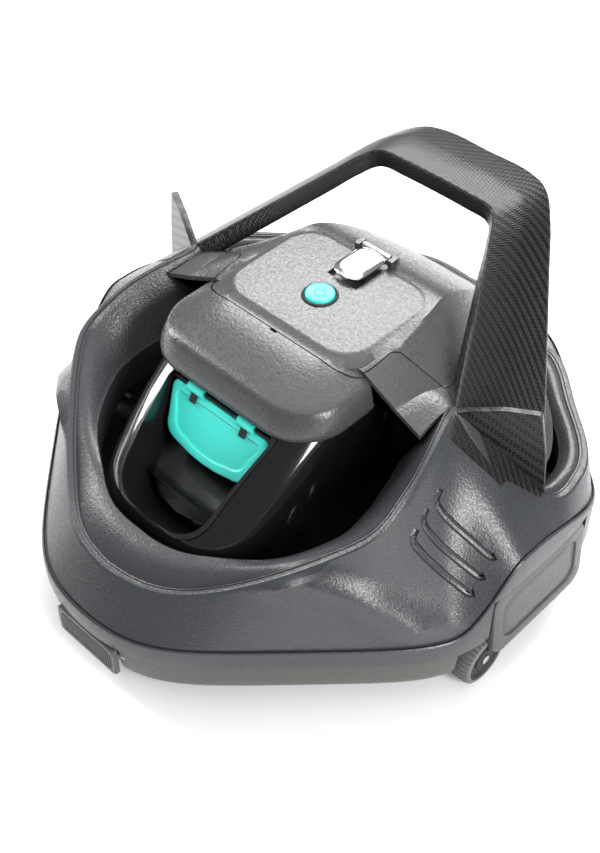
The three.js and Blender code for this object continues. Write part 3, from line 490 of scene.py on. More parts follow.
# ------------------------------------------------------------------ planform
def skirt_radius(angle):
    total = 0
    for facing, distance in FLATS:
        reach = math.cos(math.radians(angle - facing)) / distance
        if reach > 0:
            total += reach ** CORNER_SHARPNESS
    return total ** (-1 / CORNER_SHARPNESS)


def at_angle(angle, radius, height):
    turn = math.radians(angle)
    return (radius * math.sin(turn), -radius * math.cos(turn), height)


def skirt_top(angle):
    side = abs(angle)
    return SKIRT_Z + ARCH_RISE * smoothstep(side, 65, 81) * (1 - smoothstep(side, 84, 128))


def crest_radius(angle):
    return skirt_radius(angle) - smooth_value(LOOP_ROWS, abs(angle), 1)


def crest_height(angle):
    return smooth_value(LOOP_ROWS, abs(angle), 2)


def well_radius(angle):
    return crest_radius(angle) - smooth_value(LOOP_ROWS, abs(angle), 3)


def well_height(angle):
    return smooth_value(LOOP_ROWS, abs(angle), 4)


STATIONS = [-180 + STATION_STEP * i for i in range(int(360 / STATION_STEP))]


def ring(radius_of, height_of):
    return [at_angle(a, radius_of(a), height_of(a)) for a in STATIONS]


# ------------------------------------------------------------------ hull
RIDGE_FOOT = 61        # where the front facet's ridge meets the skirt, degrees from the front
RIDGE_HEAD = 34        # and the crest
RIDGE_HEIGHT = 8.5
RIDGE_SPREAD = 8.0       # degrees to each side
VENT_RADIUS = 2.4


def ridge(angle, t):
    """How far the hull stands out at its front ridge, t running from skirt to crest."""
    middle = RIDGE_FOOT + (RIDGE_HEAD - RIDGE_FOOT) * t
    off = abs(abs(angle) - middle) / RIDGE_SPREAD
    fade = smoothstep(t, 0, 0.12) * (1 - smoothstep(t, 0.86, 1))
    return RIDGE_HEIGHT * fade * max(0, 1 - off)


def facet_ring(t):
    """Between the skirt's top edge and the crest."""
    points = []
    for a in STATIONS:
        low = (skirt_radius(a) - 2.6, skirt_top(a) - 0.1)
        high = (crest_radius(a) + 1.4, crest_height(a) - 1.0)
        radius, height = between(low, high, t)
        out = ridge(a, t)
        points.append(at_angle(a, radius + 0.7 * out, height + 0.6 * out))
    return points


def slope_ring(t):
    """Between the rim and the well's edge."""
    points = []
    for a in STATIONS:
        high = (crest_radius(a) - RIM - 0.8, crest_height(a) - 0.9)
        low = (well_radius(a) + 1.0, well_height(a) + 0.2)
        radius, height = between(high, low, t)
        points.append(at_angle(a, radius, height + 2.4 * math.sin(math.pi * t)))
    return points


def hull_rings():
    rows = [
        ring(lambda a: skirt_radius(a) - 1.2, lambda a: SEAM_Z),
        ring(lambda a: skirt_radius(a) - 0.3, lambda a: SEAM_Z + 0.9),
        ring(skirt_radius, lambda a: SEAM_Z + 2),
        ring(skirt_radius, lambda a: SEAM_Z + 8),
        ring(lambda a: skirt_radius(a), lambda a: skirt_top(a) - 2.4),
        ring(lambda a: skirt_radius(a) - 0.4, lambda a: skirt_top(a) - 0.8),
        ring(lambda a: skirt_radius(a) - 1.2, lambda a: skirt_top(a) - 0.1),
        ring(lambda a: skirt_radius(a) - 1.9, lambda a: skirt_top(a) - 1.7),
        ring(lambda a: skirt_radius(a) - 2.4, lambda a: skirt_top(a) - 1.7),
    ]
    rows += [facet_ring(i / 16) for i in range(17)]
    rows += [
        ring(lambda a: crest_radius(a) + 0.5, lambda a: crest_height(a) - 0.2),
        ring(lambda a: crest_radius(a) - 0.4, crest_height),
        ring(lambda a: crest_radius(a) - 2.2, crest_height),
        ring(lambda a: crest_radius(a) - 2.5, lambda a: crest_height(a) - 0.7),
        ring(lambda a: crest_radius(a) - 2.9, lambda a: crest_height(a) - 0.7),
        ring(lambda a: crest_radius(a) - 3.2, lambda a: crest_height(a) - 0.1),
        ring(lambda a: crest_radius(a) - RIM, lambda a: crest_height(a) - 0.1),
    ]
    rows += [slope_ring(i / 10) for i in range(11)]
    rows += [
        ring(lambda a: well_radius(a) + 0.3, lambda a: well_height(a) - 0.2),
        ring(well_radius, lambda a: well_height(a) - 1),
        ring(well_radius, lambda a: well_height(a) - WELL_DROP),
        ring(lambda a: well_radius(a) + WALL, lambda a: well_height(a) - WELL_DROP),
        ring(lambda a: well_radius(a) + WALL, lambda a: well_height(a) - WALL),
        ring(lambda a: crest_radius(a) - RIM, lambda a: crest_height(a) - 1.4 * WALL),
        ring(lambda a: skirt_radius(a) - WALL, lambda a: skirt_top(a) - WALL),
        ring(lambda a: skirt_radius(a) - WALL, lambda a: SEAM_Z),
    ]
    return rows


# Vent grooves on the right front facet: [head, bend, foot, heel] of each.
VENTS = [
    [(121.8, -46.6, 127.9), (126.4, -52.0, 120.5), (153.8, -41.7, 96.4), (158.7, -39.2, 95.8)],
    [(123.5, -59.2, 123.7), (127.6, -64.4, 116.0), (154.5, -51.8, 88.5), (159.0, -47.4, 86.7)],
    [(126.5, -70.1, 118.0), (130.3, -73.4, 109.6), (154.3, -59.2, 80.6), (160.0, -56.0, 79.0)],
]


def vent_cutter(shell, points, side):
    """A thin bar laid along the hull's surface from point to point."""
    mesh = bmesh.new()
    mesh.from_mesh(shell.data)
    skin = BVHTree.FromBMesh(mesh)
    mesh.free()
    path = []
    ordered = [[tuple(p)] for p in points]
    if side < 0:
        x, y, z = points[0]
        ordered.insert(0, [(x * 0.93, y * 0.93, z + 2)])
    for row in smooth_rows(ordered, 5):
        x, y, z = row[0]
        spot = skin.find_nearest(Vector(to_frame((side * x, y, z))))[0]
        path.append((spot.x / MM, spot.y / MM - CENTRE_SHIFT, spot.z / MM))
    return tube("vent_cut", path, VENT_RADIUS, sides=10)


def panel_node_cut(piece):
    for side in ("right", "left"):
        low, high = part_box(f"side_panel_{side}")
        sign = 1 if side == "right" else -1
        inner = sign * (HULL_SIDE - WALL - 3)
        outer = sign * (HULL_SIDE + 20)
        xs = sorted((inner, outer))
        cutter = block("panel_cut", (xs[0], low.y / MM - CENTRE_SHIFT - PANEL_SLOT, -1),
                       (xs[1], high.y / MM - CENTRE_SHIFT + PANEL_SLOT, high.z / MM + 0.5))
        boolean(piece, cutter)


def build_hull():
    shell = loft("hull_shell", hull_rings(), wrap=True)
    panel_node_cut(shell)
    for side in (1, -1):
        for points in VENTS:
            boolean(shell, vent_cutter(shell, points, side))
    dress(shell, hull_finish, "hull", ["upper_shell"], angle=28)


def build_tray():
    top = SEAM_Z - 0.5

    def at(inset, height):
        return ring(lambda a: skirt_radius(a) - inset, lambda a: height)

    outer = [at(2.6, top), at(1.7, top - 0.6), at(1.5, top - 1.6), at(1.9, 33), at(2.5, 27), at(3.6, 22.6),
             at(5.2, 19.2), at(7.4, 17.4), at(9.5, TRAY_BOTTOM)]
    inner = [at(7.5, top + 1), at(9, 26), at(13, 20)]
    tray = loft("tray_shell", outer)
    boolean(tray, loft("tray_hollow", inner))
    panel_node_cut(tray)
    for wheel in WHEELS:
        boolean(tray, node_block("wheel_cut", f"tyre_{wheel}", (4, 4, 5, 3)))
    for latch in ("front_latch", "rear_latch"):
        boolean(tray, node_block("latch_cut", latch, (0.5, 1.5, 2, 3)))
    for side in (1, -1):
        inlet = block("inlet_cut", (side * 62 - 32, -80, 10), (side * 62 + 32, -60, 30))
        boolean(tray, inlet)
    dress(tray, tray_finish, "hull", ["lower_tray"], angle=30)


WHEELS = ("front_right", "front_left", "rear_right", "rear_left")


# ------------------------------------------------------------------ visor and rear cover
PLATE_Z = 170
PLATE_FRONT = -49
PLATE_REAR = 40
PLATE_SIDE = 57
VISOR_SIDE = 67
VISOR_FRONT = -93
VISOR_REAR = -12
VISOR_LIP = 142
# [front inset from the proud lip, side inset, height above the lip]
VISOR_ROWS = [
    (3, 2.5, 0), (1.2, 1.0, 0.7), (0.3, 0.2, 2), (0, 0, 4), (0.5, 0.2, 6.5), (2.0, 0.8, 10),
    (3.6, 1.6, 13.4), (4.8, 2.4, 16), (6.0, 3.4, 17.8), (8.2, 5.2, 19), (12, 8, 20.2), (20, 12, 22.4),
    (30, 17, 24.8), (40, 24, 26.2),
]
# Across the machine: [y, plate edge x, z, shoulder x, z, outer x, z]
DECK_ROWS = [
    (-38, 58, 166, 82, 154, 100, 146), (-16, 60, 168, 84, 153, 99, 148), (-4, 58, 168.5, 86, 150, 106, 142),
    (8, 56, 169, 86, 148, 128, 118), (22, 54, 169, 84, 143, 137, 104), (40, 50, 168, 80, 133, 136, 97),
    (62, 46, 157, 76, 122, 122, 97), (84, 40, 141, 68, 112, 100, 97), (104, 34, 124, 56, 106, 76, 97),
    (119, 28, 108, 38, 101, 48, 97),
]


def visor_ring(front_inset, side_inset, height):
    front = VISOR_FRONT + front_inset
    half = (VISOR_REAR - front) / 2
    outline = rounded_rectangle(VISOR_SIDE - side_inset, half, 32 - side_inset * 0.6, 10)
    return [(x, y + front + half, VISOR_LIP + height) for x, y in outline]


def plate_ring(inset, height):
    middle = (PLATE_REAR + PLATE_FRONT) / 2
    half = (PLATE_REAR - PLATE_FRONT) / 2
    outline = rounded_rectangle(PLATE_SIDE - inset, half - inset, 21 - inset * 0.4, 8)
    return [(x, y + middle, height) for x, y in outline]


def deck_row(row):
    y, edge_x, edge_z, shoulder_x, shoulder_z, outer_x, outer_z = row
    half = [(outer_x, outer_z), between((outer_x, outer_z), (shoulder_x, shoulder_z), 0.5),
            between((outer_x, outer_z), (shoulder_x, shoulder_z), 0.94),
            (shoulder_x, shoulder_z - 0.3), between((shoulder_x, shoulder_z), (edge_x, edge_z), 0.07),
            between((shoulder_x, shoulder_z), (edge_x, edge_z), 0.93), (edge_x, edge_z - 0.2),
            (edge_x * 0.9, edge_z + 0.2), (edge_x / 2, edge_z + 0.6)]
    left = [(-x, y, z) for x, z in half]
    right = [(x, y, z) for x, z in reversed(half)]
    return left + [(0, y, edge_z + 0.8)] + right


def build_bonnet():
    rows = smooth_rows([deck_row(r) for r in DECK_ROWS], 5)
    deck = loft("deck", [row + [(x, y, z - 3) for x, y, z in reversed(row)] for row in rows])
    dome = loft("dome", [visor_ring(*row) for row in VISOR_ROWS])
    border = [(0, 8), (0, 3.4), (0.5, 2.9), (6.2, 0.5), (7.2, 0.1), (8.4, 0)]
    plate = loft("plate", [plate_ring(inset, PLATE_Z - drop) for inset, drop in border])
    boolean(deck, dome, "UNION")
    boolean(deck, plate, "UNION")
    rear = VISOR_REAR + 20
    hollow_rows = []
    inner_rows = [(5.2, 4.7, -1), (2.2, 2.2, 4), (4.2, 3.0, 10), (8, 5.6, 15.6), (20, 13, 20)]
    for front, side, height in inner_rows:
        low = VISOR_FRONT + front
        half = (rear - low) / 2
        outline = rounded_rectangle(VISOR_SIDE - side, half, 28, 8)
        hollow_rows.append([(x, y + low + half, VISOR_LIP + height) for x, y in outline])
    boolean(deck, loft("hollow", hollow_rows))
    return deck


def seam_outline(inset):
    """Plan outline of the rear cover: round the plate's front, then out to each shoulder."""
    front = PLATE_FRONT + inset
    side = PLATE_SIDE + 3 - inset
    corner = 18
    half = [(160, 150), (160, 6 + inset), (88, 6 + inset), (88 - inset, -3 + inset),
            (side + 3, -13 + inset), (side, -18 + inset)]
    for i in range(9):
        t = i / 8
        x = side - corner * t * t
        y = front + corner * (1 - t) ** 2
        half.append((x, y))
    return half + [(-x, y) for x, y in reversed(half)]


def seam_prism(name, inset):
    outline = seam_outline(inset)
    faces = [tuple(range(len(outline))), tuple(range(len(outline), 2 * len(outline)))]
    points = [(x, y, 60) for x, y in outline] + [(x, y, 220) for x, y in outline]
    count = len(outline)
    faces += [(i, (i + 1) % count, count + (i + 1) % count, count + i) for i in range(count)]
    return mesh_piece(name, points, faces)


def build_covers():
    bonnet = build_bonnet()
    visor = copy_of(bonnet, "visor_shell")
    boolean(visor, seam_prism("seam", 0))
    cover = bonnet
    cover.name = "rear_cover_shell"
    boolean(cover, seam_prism("seam", 0.7), "INTERSECT")
    low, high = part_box("button_ring")
    x, y = 0, (low.y + high.y) / 2 / MM - CENTRE_SHIFT
    radius = (high.x - low.x) / 2 / MM + 0.3
    boolean(cover, tube("button_cut", [(x, y, 150), (x, y, 180)], radius, 40))
    low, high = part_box("charge_flap")
    boolean(cover, block("pocket", (low.x / MM - 0.9, low.y / MM - CENTRE_SHIFT - 1, 166.5),
                         (high.x / MM + 0.9, high.y / MM - CENTRE_SHIFT + 0.6, 180)))
    low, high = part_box("charge_socket")
    y = (low.y + high.y) / 2 / MM - CENTRE_SHIFT
    boolean(cover, tube("socket_cut", [(0, y, 150), (0, y, 180)], 6.4, 32))
    notch = block("seam_notch", (-1.6, PLATE_FRONT - 1.4, 160), (3.4, PLATE_FRONT + 1.6, 175))
    boolean(visor, notch)
    dress(visor, visor_finish, "hull", ["front_visor"], angle=30)
    dress(cover, visor_finish, "hull", ["rear_cover"], angle=30)


# ------------------------------------------------------------------ pod and outlet
POD_ROWS = [
    (48, -150, 24, 61), (72, -152, 22, 63), (90, -150, 20, 64), (106, -136, 18, 64), (124, -116, 16, 63.4),
    (141, -93, 14, 62), (150, -84, 10, 57), (158, -70, 6, 50),
]
POD_SQUARENESS = 0.64
POD_WALL = 3
DUCT_GAP = 0.4
DUCT_WALL = 2.2
DUCT_DEPTH = 40
MOUTH_MIDDLE = (0, -117.1, 114.9)
MOUTH_HALF = 43
MOUTH_LENGTH = 84
MOUTH_TAPER = 6
LEAN = math.sqrt(0.5)


def pod_ring(height, inset):
    front = smooth_value(POD_ROWS, height, 1)
    rear = smooth_value(POD_ROWS, height, 2)
    half_width = smooth_value(POD_ROWS, height, 3)
    middle = (front + rear) / 2
    half = (rear - front) / 2 - inset
    points = []
    for i in range(112):
        turn = 2 * math.pi * i / 112
        s, c = math.sin(turn), math.cos(turn)
        x = math.copysign(abs(s) ** POD_SQUARENESS, s) * (half_width - inset)
        y = -math.copysign(abs(c) ** POD_SQUARENESS, c) * half
        points.append((x, middle + y, height))
    return points


def pod_solid(name, inset, low=48, high=158):
    steps = 30
    return loft(name, [pod_ring(low + (high - low) * i / steps, inset) for i in range(steps + 1)])


def mouth_outline(inset):
    """(across, up the mouth) round the opening: nearly straight top, tapering sides, round foot."""
    top = MOUTH_LENGTH / 2 - inset
    foot = -MOUTH_LENGTH / 2 + inset
    wide = MOUTH_HALF - inset
    narrow = wide - MOUTH_TAPER
    corners = [((wide, top - 8), (wide, top), (wide - 8, top)),
               ((narrow - 22, foot + 0.6), (narrow - 2, foot + 3), (narrow, foot + 22))]
    half = []
    for a, b, c in corners[1:] + corners[:1]:
        for i in range(11):
            t = i / 10
            half.append(tuple(a[k] * (1 - t) ** 2 + 2 * b[k] * t * (1 - t) + c[k] * t * t for k in (0, 1)))
    left = [(-x, s) for x, s in reversed(half)]
    return half + left + [(0, foot - 0.4)]


def mouth_prism(name, inset, start, end):
    """A prism square to the mouth, from start to end inward."""
    def at(x, s, depth):
        return (x, MOUTH_MIDDLE[1] + LEAN * (s + depth), MOUTH_MIDDLE[2] + LEAN * (s - depth))
    outline = mouth_outline(inset)
    return loft(name, [[at(x, s, start + (end - start) * k) for x, s in outline] for k in (0, 1)])


def build_pod():
    pod = pod_solid("pod_shell", 0)
    boolean(pod, pod_solid("pod_hollow", POD_WALL, 46, 155))
    boolean(pod, mouth_prism("mouth", 0, -40, DUCT_DEPTH + 4))
    dress(pod, pod_finish, "hull", ["pump_pod"], angle=40)


def build_duct():
    cup = mouth_prism("duct_shell", DUCT_GAP, -20, DUCT_DEPTH)
    boolean(cup, mouth_prism("cup_hollow", DUCT_GAP + DUCT_WALL, -30, DUCT_DEPTH - 3))
    boolean(cup, pod_solid("flush", -0.5), "INTERSECT")
    low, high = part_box("outlet_flap_pin")
    y = (low.y + high.y) / 2 / MM - CENTRE_SHIFT
    z = (low.z + high.z) / 2 / MM
    boolean(cup, tube("pin_cut", [(-60, y, z), (60, y, z)], 2, 16))
    boolean(cup, block("under_lip", (-100, VISOR_FRONT - 10, 141.2), (100, VISOR_FRONT + 10, 160)))
    dress(cup, duct_finish, "hull", ["outlet_duct"], angle=40)
    floor_rows = []
    for depth, inset, lift in [(36.5, 3.2, 0), (30, 3.4, 0), (22, 5, -20), (16, 9, -24)]:
        outline = [(x, min(s, lift)) for x, s in mouth_outline(inset)]
        floor_rows.append([(x, MOUTH_MIDDLE[1] + LEAN * (s + depth), MOUTH_MIDDLE[2] + LEAN * (s - depth))
                           for x, s in outline])
    scoop = loft("duct_scoop", floor_rows)
    dress(scoop, duct_finish, "hull", angle=50)


FLAP_LEAN = math.radians(29)
FLAP_HALF = 38
FLAP_LENGTH = 33


def flap_outline(inset):
    w = FLAP_HALF - inset
    low = -FLAP_LENGTH - 5 + inset
    top = -2 - inset
    curves = [((w - 3, top), (w, top), (w, top - 4)),
              ((w - 4, low + 14), (w - 5, low + 4), (w - 16, low + 3))]
    half = [(0, top)]
    for a, b, c in curves:
        for i in range(8):
            t = i / 7
            half.append(tuple(a[k] * (1 - t) ** 2 + 2 * b[k] * t * (1 - t) + c[k] * t * t for k in (0, 1)))
    half += [((w - 16) * 0.5, low + 1), (0, low + 0.4)]
    return half + [(-x, s) for x, s in reversed(half[1:-1])]


def flap_place(x, s, out, hinge):
    """(across, along the flap, out of its face) to a point."""
    return (x, hinge[1] + math.sin(FLAP_LEAN) * s - math.cos(FLAP_LEAN) * out,
            hinge[2] + math.cos(FLAP_LEAN) * s + math.sin(FLAP_LEAN) * out)


def build_flap():
    joint = next(j for j in frame["joints"] if j["name"] == "outlet_flap_hinge")
    hinge = [joint["pos_m"][0] / MM, joint["pos_m"][1] / MM - CENTRE_SHIFT, joint["pos_m"][2] / MM]
    profile = [(0.5, -1.2), (0, -0.7), (0, 0.6), (0.35, 1.05), (0.9, 1.25), (4.2, 1.25), (4.7, 1.0),
               (5.1, 0.35), (5.6, 0.15), (8, 0.15)]
    rings = [[flap_place(x, s, out, hinge) for x, s in flap_outline(inset)] for inset, out in profile]
    flap = loft("flap_plate", rings)
    barrels = []
    for side in (-1, 1):
        ends = [(side * x, hinge[1], hinge[2]) for x in (14, 26)]
        barrels.append(tube("barrel", ends, 3.8, 24))
    joined(flap, *barrels)
    dress(flap, teal_finish, "outlet_flap", ["outlet_flap"], angle=40)
    for name, side in (("right", 1), ("left", -1)):
        rows = [[flap_place(side * 20 + x, s, out, hinge) for x, s in
                 [(-2.4, -8.5), (2.4, -8.5), (2.4, -1.5), (-2.4, -1.5)]] for out in (1.0, 2.6)]
        lug = loft(f"flap_lug_{name}", rows)
        soften(lug, 0.4)
        dress(lug, duct_finish, "outlet_flap")


# ------------------------------------------------------------------ plate controls
def circle(centre, radius, height, sides=48):
    turns = [2 * math.pi * i / sides for i in range(sides)]
    return [(centre[0] + radius * math.cos(t), centre[1] + radius * math.sin(t), height) for t in turns]


def lathe(name, profile, centre, sides=48, wrap=False):
    """Turned piece about +Z: profile is (radius, height)."""
    rings = [circle(centre, radius, height, sides) for radius, height in profile]
    return loft(name, rings, wrap)


def node_centre(name):
    low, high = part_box(name)
    middle = (low + high) / 2
    return (middle.x / MM, middle.y / MM - CENTRE_SHIFT, middle.z / MM)


def build_button():
    low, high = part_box("power_button")
    centre = node_centre("power_button")
    top = high.z / MM
    radius = (high.x - low.x) / 2 / MM
    profile = [(4, low.z / MM), (4, top - 6), (radius, top - 6), (radius, top - 1.0),
               (radius - 0.3, top - 0.4), (radius - 1.0, top), (radius - 2.4, top - 0.15),
               (radius - 4, top - 0.45), (0.4, top - 0.6)]
    button = lathe("button_cap", profile, centre)
    dress(button, teal_finish, "power_button", ["power_button"], angle=40)
    mark_radius = radius * 0.36
    mark_z = top - 0.5
    line_radius = 0.34
    turns = [math.radians(125 + 290 * i / 24) for i in range(25)]
    arc = [(centre[0] + mark_radius * math.cos(t), centre[1] + mark_radius * math.sin(t), mark_z)
           for t in turns]
    mark = tube("power_mark_arc", arc, line_radius, 8)
    upright = [(centre[0], centre[1] + mark_radius * s, mark_z) for s in (0.35, 0.8, 1.25)]
    bar = tube("bar", upright, line_radius, 8)
    joined(mark, bar)
    dress(mark, teal_deep, "power_button", angle=60)
    low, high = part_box("button_ring")
    outer = (high.x - low.x) / 2 / MM
    rim = high.z / MM
    ring_rows = [(radius + 0.4, rim - 12), (outer, rim - 12), (outer, rim - 0.5), (outer - 0.4, rim),
                 (outer - 1.0, rim + 0.1), (radius + 0.6, rim - 0.4), (radius + 0.4, rim - 0.9)]
    seat = lathe("button_seat", ring_rows, centre, wrap=True)
    dress(seat, rubber_finish, "hull", ["button_ring"], angle=40)


def build_tab():
    low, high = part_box("charge_flap")
    half = (high.x - low.x) / 2 / MM
    joint = next(j for j in frame["joints"] if j["name"] == "charge_flap_hinge")
    hinge_y = joint["pos_m"][1] / MM - CENTRE_SHIFT
    hinge_z = joint["pos_m"][2] / MM
    front = low.y / MM - CENTRE_SHIFT
    under = hinge_z - 0.4
    top = high.z / MM - 0.4
    length = hinge_y - front

    def outline(inset, lift, nose):
        """Round-nosed outline, front first. nose lowers the height towards the front."""
        points = []
        for x, y in rounded_rectangle(half - inset, length / 2 - inset, 7 - inset * 0.5, 8):
            away = (y + length / 2) / length
            drop = nose * max(0, 1 - away / 0.3) ** 1.4
            points.append((x, y + front + length / 2, lift - drop))
        return points

    rows = [(0.6, under, 0), (0, under + 0.4, 0), (0, under + 0.8, 0), (0.3, under + 1.2, 0.1),
            (2.2, top - 0.3, 1.0), (2.9, top, 1.3), (4.2, top + 0.15, 1.5)]
    tab = loft("charge_tab", [outline(*row) for row in rows])
    barrel = tube("tab_barrel", [(-half + 0.5, hinge_y, hinge_z), (half - 0.5, hinge_y, hinge_z)], 2.5, 24)
    nose = block("tab_nose", (-4.5, front - 0.6, under - 0.6), (4.5, front + 2.4, under + 1.0))
    soften(nose, 0.4)
    bake(nose)
    joined(tab, barrel, nose)
    dress(tab, chrome_finish, "charge_flap", ["charge_flap"], angle=35)


# ------------------------------------------------------------------ handle
INNER_FOOT = (105, -15, 151)
OUTER_FOOT = (154, 9, 104)
INNER_CORNER = (48, 83, 200)
OUTER_CORNER = (58, 126, 193)
GRIP_INNER_Y = 88
GRIP_OUTER_Y = 139
GRIP_Z = 202
FIN_TIP = (146, 6, 161)


def handle_sections():
    rows = [[between(INNER_FOOT, INNER_CORNER, t), between(OUTER_FOOT, OUTER_CORNER, t)]
            for t in (-0.12, 0.1, 0.32, 0.54, 0.76, 0.92)]
    rows.append([(INNER_CORNER[0] - 5, GRIP_INNER_Y - 1.5, INNER_CORNER[2] + 1),
                 (OUTER_CORNER[0] - 9, GRIP_OUTER_Y - 6, OUTER_CORNER[2] + 1)])
    rows.append([(INNER_CORNER[0] / 2, GRIP_INNER_Y, GRIP_Z - 0.4),
                 (OUTER_CORNER[0] / 2, GRIP_OUTER_Y, GRIP_Z - 6)])
    rows.append([(0, GRIP_INNER_Y, GRIP_Z), (0, GRIP_OUTER_Y, GRIP_Z - 6)])
    return rows


def handle_ring(inner, outer, share):
    inner, outer = Vector(inner), Vector(outer)
    down = Vector((-0.62, 0, -0.78)).lerp(Vector((0, 0, -1)), share).normalized()
    inner_low = inner + down * 12
    outer_low = outer + down * 6
    crown = inner.lerp(outer, 0.5) - down * 2
    belly = inner_low.lerp(outer_low, 0.5)
    edge = outer.lerp(outer_low, 0.5) + (outer - inner).normalized() * 1.5
    corners = [inner, crown, outer, edge, outer_low, belly, inner_low]
    return rounded_ring([tuple(p) for p in corners], 2.2, 3)


def weave_map(piece, places):
    """UV map in millimetres from one (along, across) pair per vertex."""
    layer = piece.data.uv_layers.new(name="weave")
    for polygon in piece.data.polygons:
        uvs = [places[piece.data.loops[k].vertex_index] for k in polygon.loop_indices]
        far = max(v for _, v in uvs)
        for k, (u, v) in zip(polygon.loop_indices, uvs):
            if far - v > WEAVE_WRAP / 2:
                v += WEAVE_WRAP
            layer.data[k].uv = (u, v)


WEAVE_WRAP = 136.0


def build_handle():
    half = handle_sections()
    rings = [handle_ring(a, b, i / (len(half) - 1)) for i, (a, b) in enumerate(half)]
    other = [[(-x, y, z) for x, y, z in row] for row in reversed(rings[:-1])]
    rows = smooth_rows(rings + other, 5)
    count = len(rows[0])
    points = []
    places = []
    along = 0.0
    for r, row in enumerate(rows):
        middle = Vector([sum(p[k] for p in row) / count for k in range(3)])
        if r:
            along += (middle - last).length
        last = middle
        around = 0.0
        for i, p in enumerate(row):
            if i:
                around += (Vector(p) - Vector(row[i - 1])).length
            points.append(p)
            places.append((along, around))
    faces = loft_faces(len(rows), count, False)
    mesh = bpy.data.meshes.new("handle_bar")
    mesh.from_pydata([to_frame(p) for p in points], [], faces)
    bar = placed("handle_bar", mesh)
    weave_map(bar, places)
    cap = bmesh.new()
    cap.from_mesh(mesh)
    bmesh.ops.holes_fill(cap, edges=[e for e in cap.edges if e.is_boundary], sides=0)
    bmesh.ops.recalc_face_normals(cap, faces=cap.faces)
    cap.to_mesh(mesh)
    cap.free()
    dress(bar, carbon_finish, "hull", ["carry_handle"], angle=38)
    for name, side in (("right", 1), ("left", -1)):
        build_fin(name, side)


def build_fin(name, side):
    inner, outer, tip = Vector(INNER_FOOT), Vector(OUTER_FOOT), Vector(FIN_TIP)
    normal = (tip - inner).cross(outer - inner).normalized()
    sink = Vector((0, 0, -10))
    brow = inner.lerp(tip, 0.55) + Vector((0, 0, 2.5))
    cheek = tip.lerp(outer, 0.5) + Vector((1.5, 0.8, 0))
    outline = [inner, brow, tip, cheek, outer, outer + sink, inner + sink]
    rows = []
    for share, inset in ((0, 0.6), (0.12, 0.1), (0.88, 0.1), (1, 0.6)):
        middle = sum(outline, Vector()) / len(outline)
        shrunk = [p + (middle - p).normalized() * inset for p in outline]
        curve = rounded_ring([tuple(p + normal * 4.5 * share) for p in shrunk], 1.6, 3)
        rows.append([(side * x, y, z) for x, y, z in curve])
    fin = loft(f"handle_fin_{name}", rows)
    places = [((v.co.y * 0.9 + v.co.x * 0.4 * side) / MM, (v.co.z - v.co.x * 0.2 * side) / MM)
              for v in fin.data.vertices]
    layer = fin.data.uv_layers.new(name="weave")
    for loop in fin.data.loops:
        layer.data[loop.index].uv = places[loop.vertex_index]
    dress(fin, carbon_finish, "hull", angle=38)


# ------------------------------------------------------------------ sides, latches, wheels
PANEL_FLARE = 4
PANEL_BOW = 1.5
PANEL_SET_IN = 2.5


def build_panel(name):
    low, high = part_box(f"side_panel_{name}")
    side = 1 if name == "right" else -1
    y0, y1 = low.y / MM - CENTRE_SHIFT, high.y / MM - CENTRE_SHIFT
    z0, z1 = low.z / MM, high.z / MM
    face = HULL_SIDE - PANEL_SET_IN

    def outline(inset, depth):
        points = []
        for y, z in rounded_rectangle((y1 - y0) / 2 - inset, (z1 - z0) / 2 - inset, 9, 6):
            y += (y0 + y1) / 2
            z += (z0 + z1) / 2
            flare = PANEL_FLARE * (z1 - z) / (z1 - z0)
            bow = PANEL_BOW * (1 - ((y - (y0 + y1) / 2) / ((y1 - y0) / 2)) ** 2)
            points.append((side * (face + flare + bow + depth), y, z))
        return points

    profile = [(0, -4), (0, -1.0), (0.3, -0.3), (1.0, 0), (7.6, 0), (8.0, -0.3), (8.2, -1.1), (8.9, -1.2),
               (9.3, -0.9), (14, -0.8)]
    panel = loft(f"side_panel_skin_{name}", [outline(*row) for row in profile])
    dress(panel, panel_finish, "hull", [f"side_panel_{name}"], angle=34)


def build_latch(name):
    """A plate with fine upright ribs and a finger ledge along its foot."""
    low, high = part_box(name)
    outward = -1 if name == "front_latch" else 1
    face = (low.y if outward < 0 else high.y) / MM - CENTRE_SHIFT - outward * 1.2
    back = face - outward * 3
    x1, z0, z1 = high.x / MM, low.z / MM, high.z / MM
    rows = []
    profile = ((0, back), (0, face - outward * 0.7), (0.7, face), (3.2, face), (3.6, face - outward * 0.6))
    for inset, y in profile:
        rows.append([(x, y, z + (z0 + z1) / 2)
                     for x, z in rounded_rectangle(x1 - inset, (z1 - z0) / 2 - inset, 3, 5)])
    plate = loft(f"{name}_plate", rows)
    ribs = []
    rib_count = 21
    for i in range(rib_count):
        x = (i / (rib_count - 1) - 0.5) * 2 * (x1 - 5)
        ends = [(x, face - outward * 0.5, z) for z in (z0 + 4.5, z1 - 4.5)]
        ribs.append(tube("rib", ends, 0.6, 6))
    joint = next(j for j in frame["joints"] if j["name"] == f"{name}_hinge")
    pivot = (joint["pos_m"][1] / MM - CENTRE_SHIFT, joint["pos_m"][2] / MM)
    barrel = tube("barrel", [(-x1 + 4, pivot[0], pivot[1]), (x1 - 4, pivot[0], pivot[1])], 2.9, 20)
    joined(plate, barrel, *ribs)
    dress(plate, tray_finish, name, [name], angle=34)


TREAD_GROOVES = 36
TREAD_DEPTH = 0.9


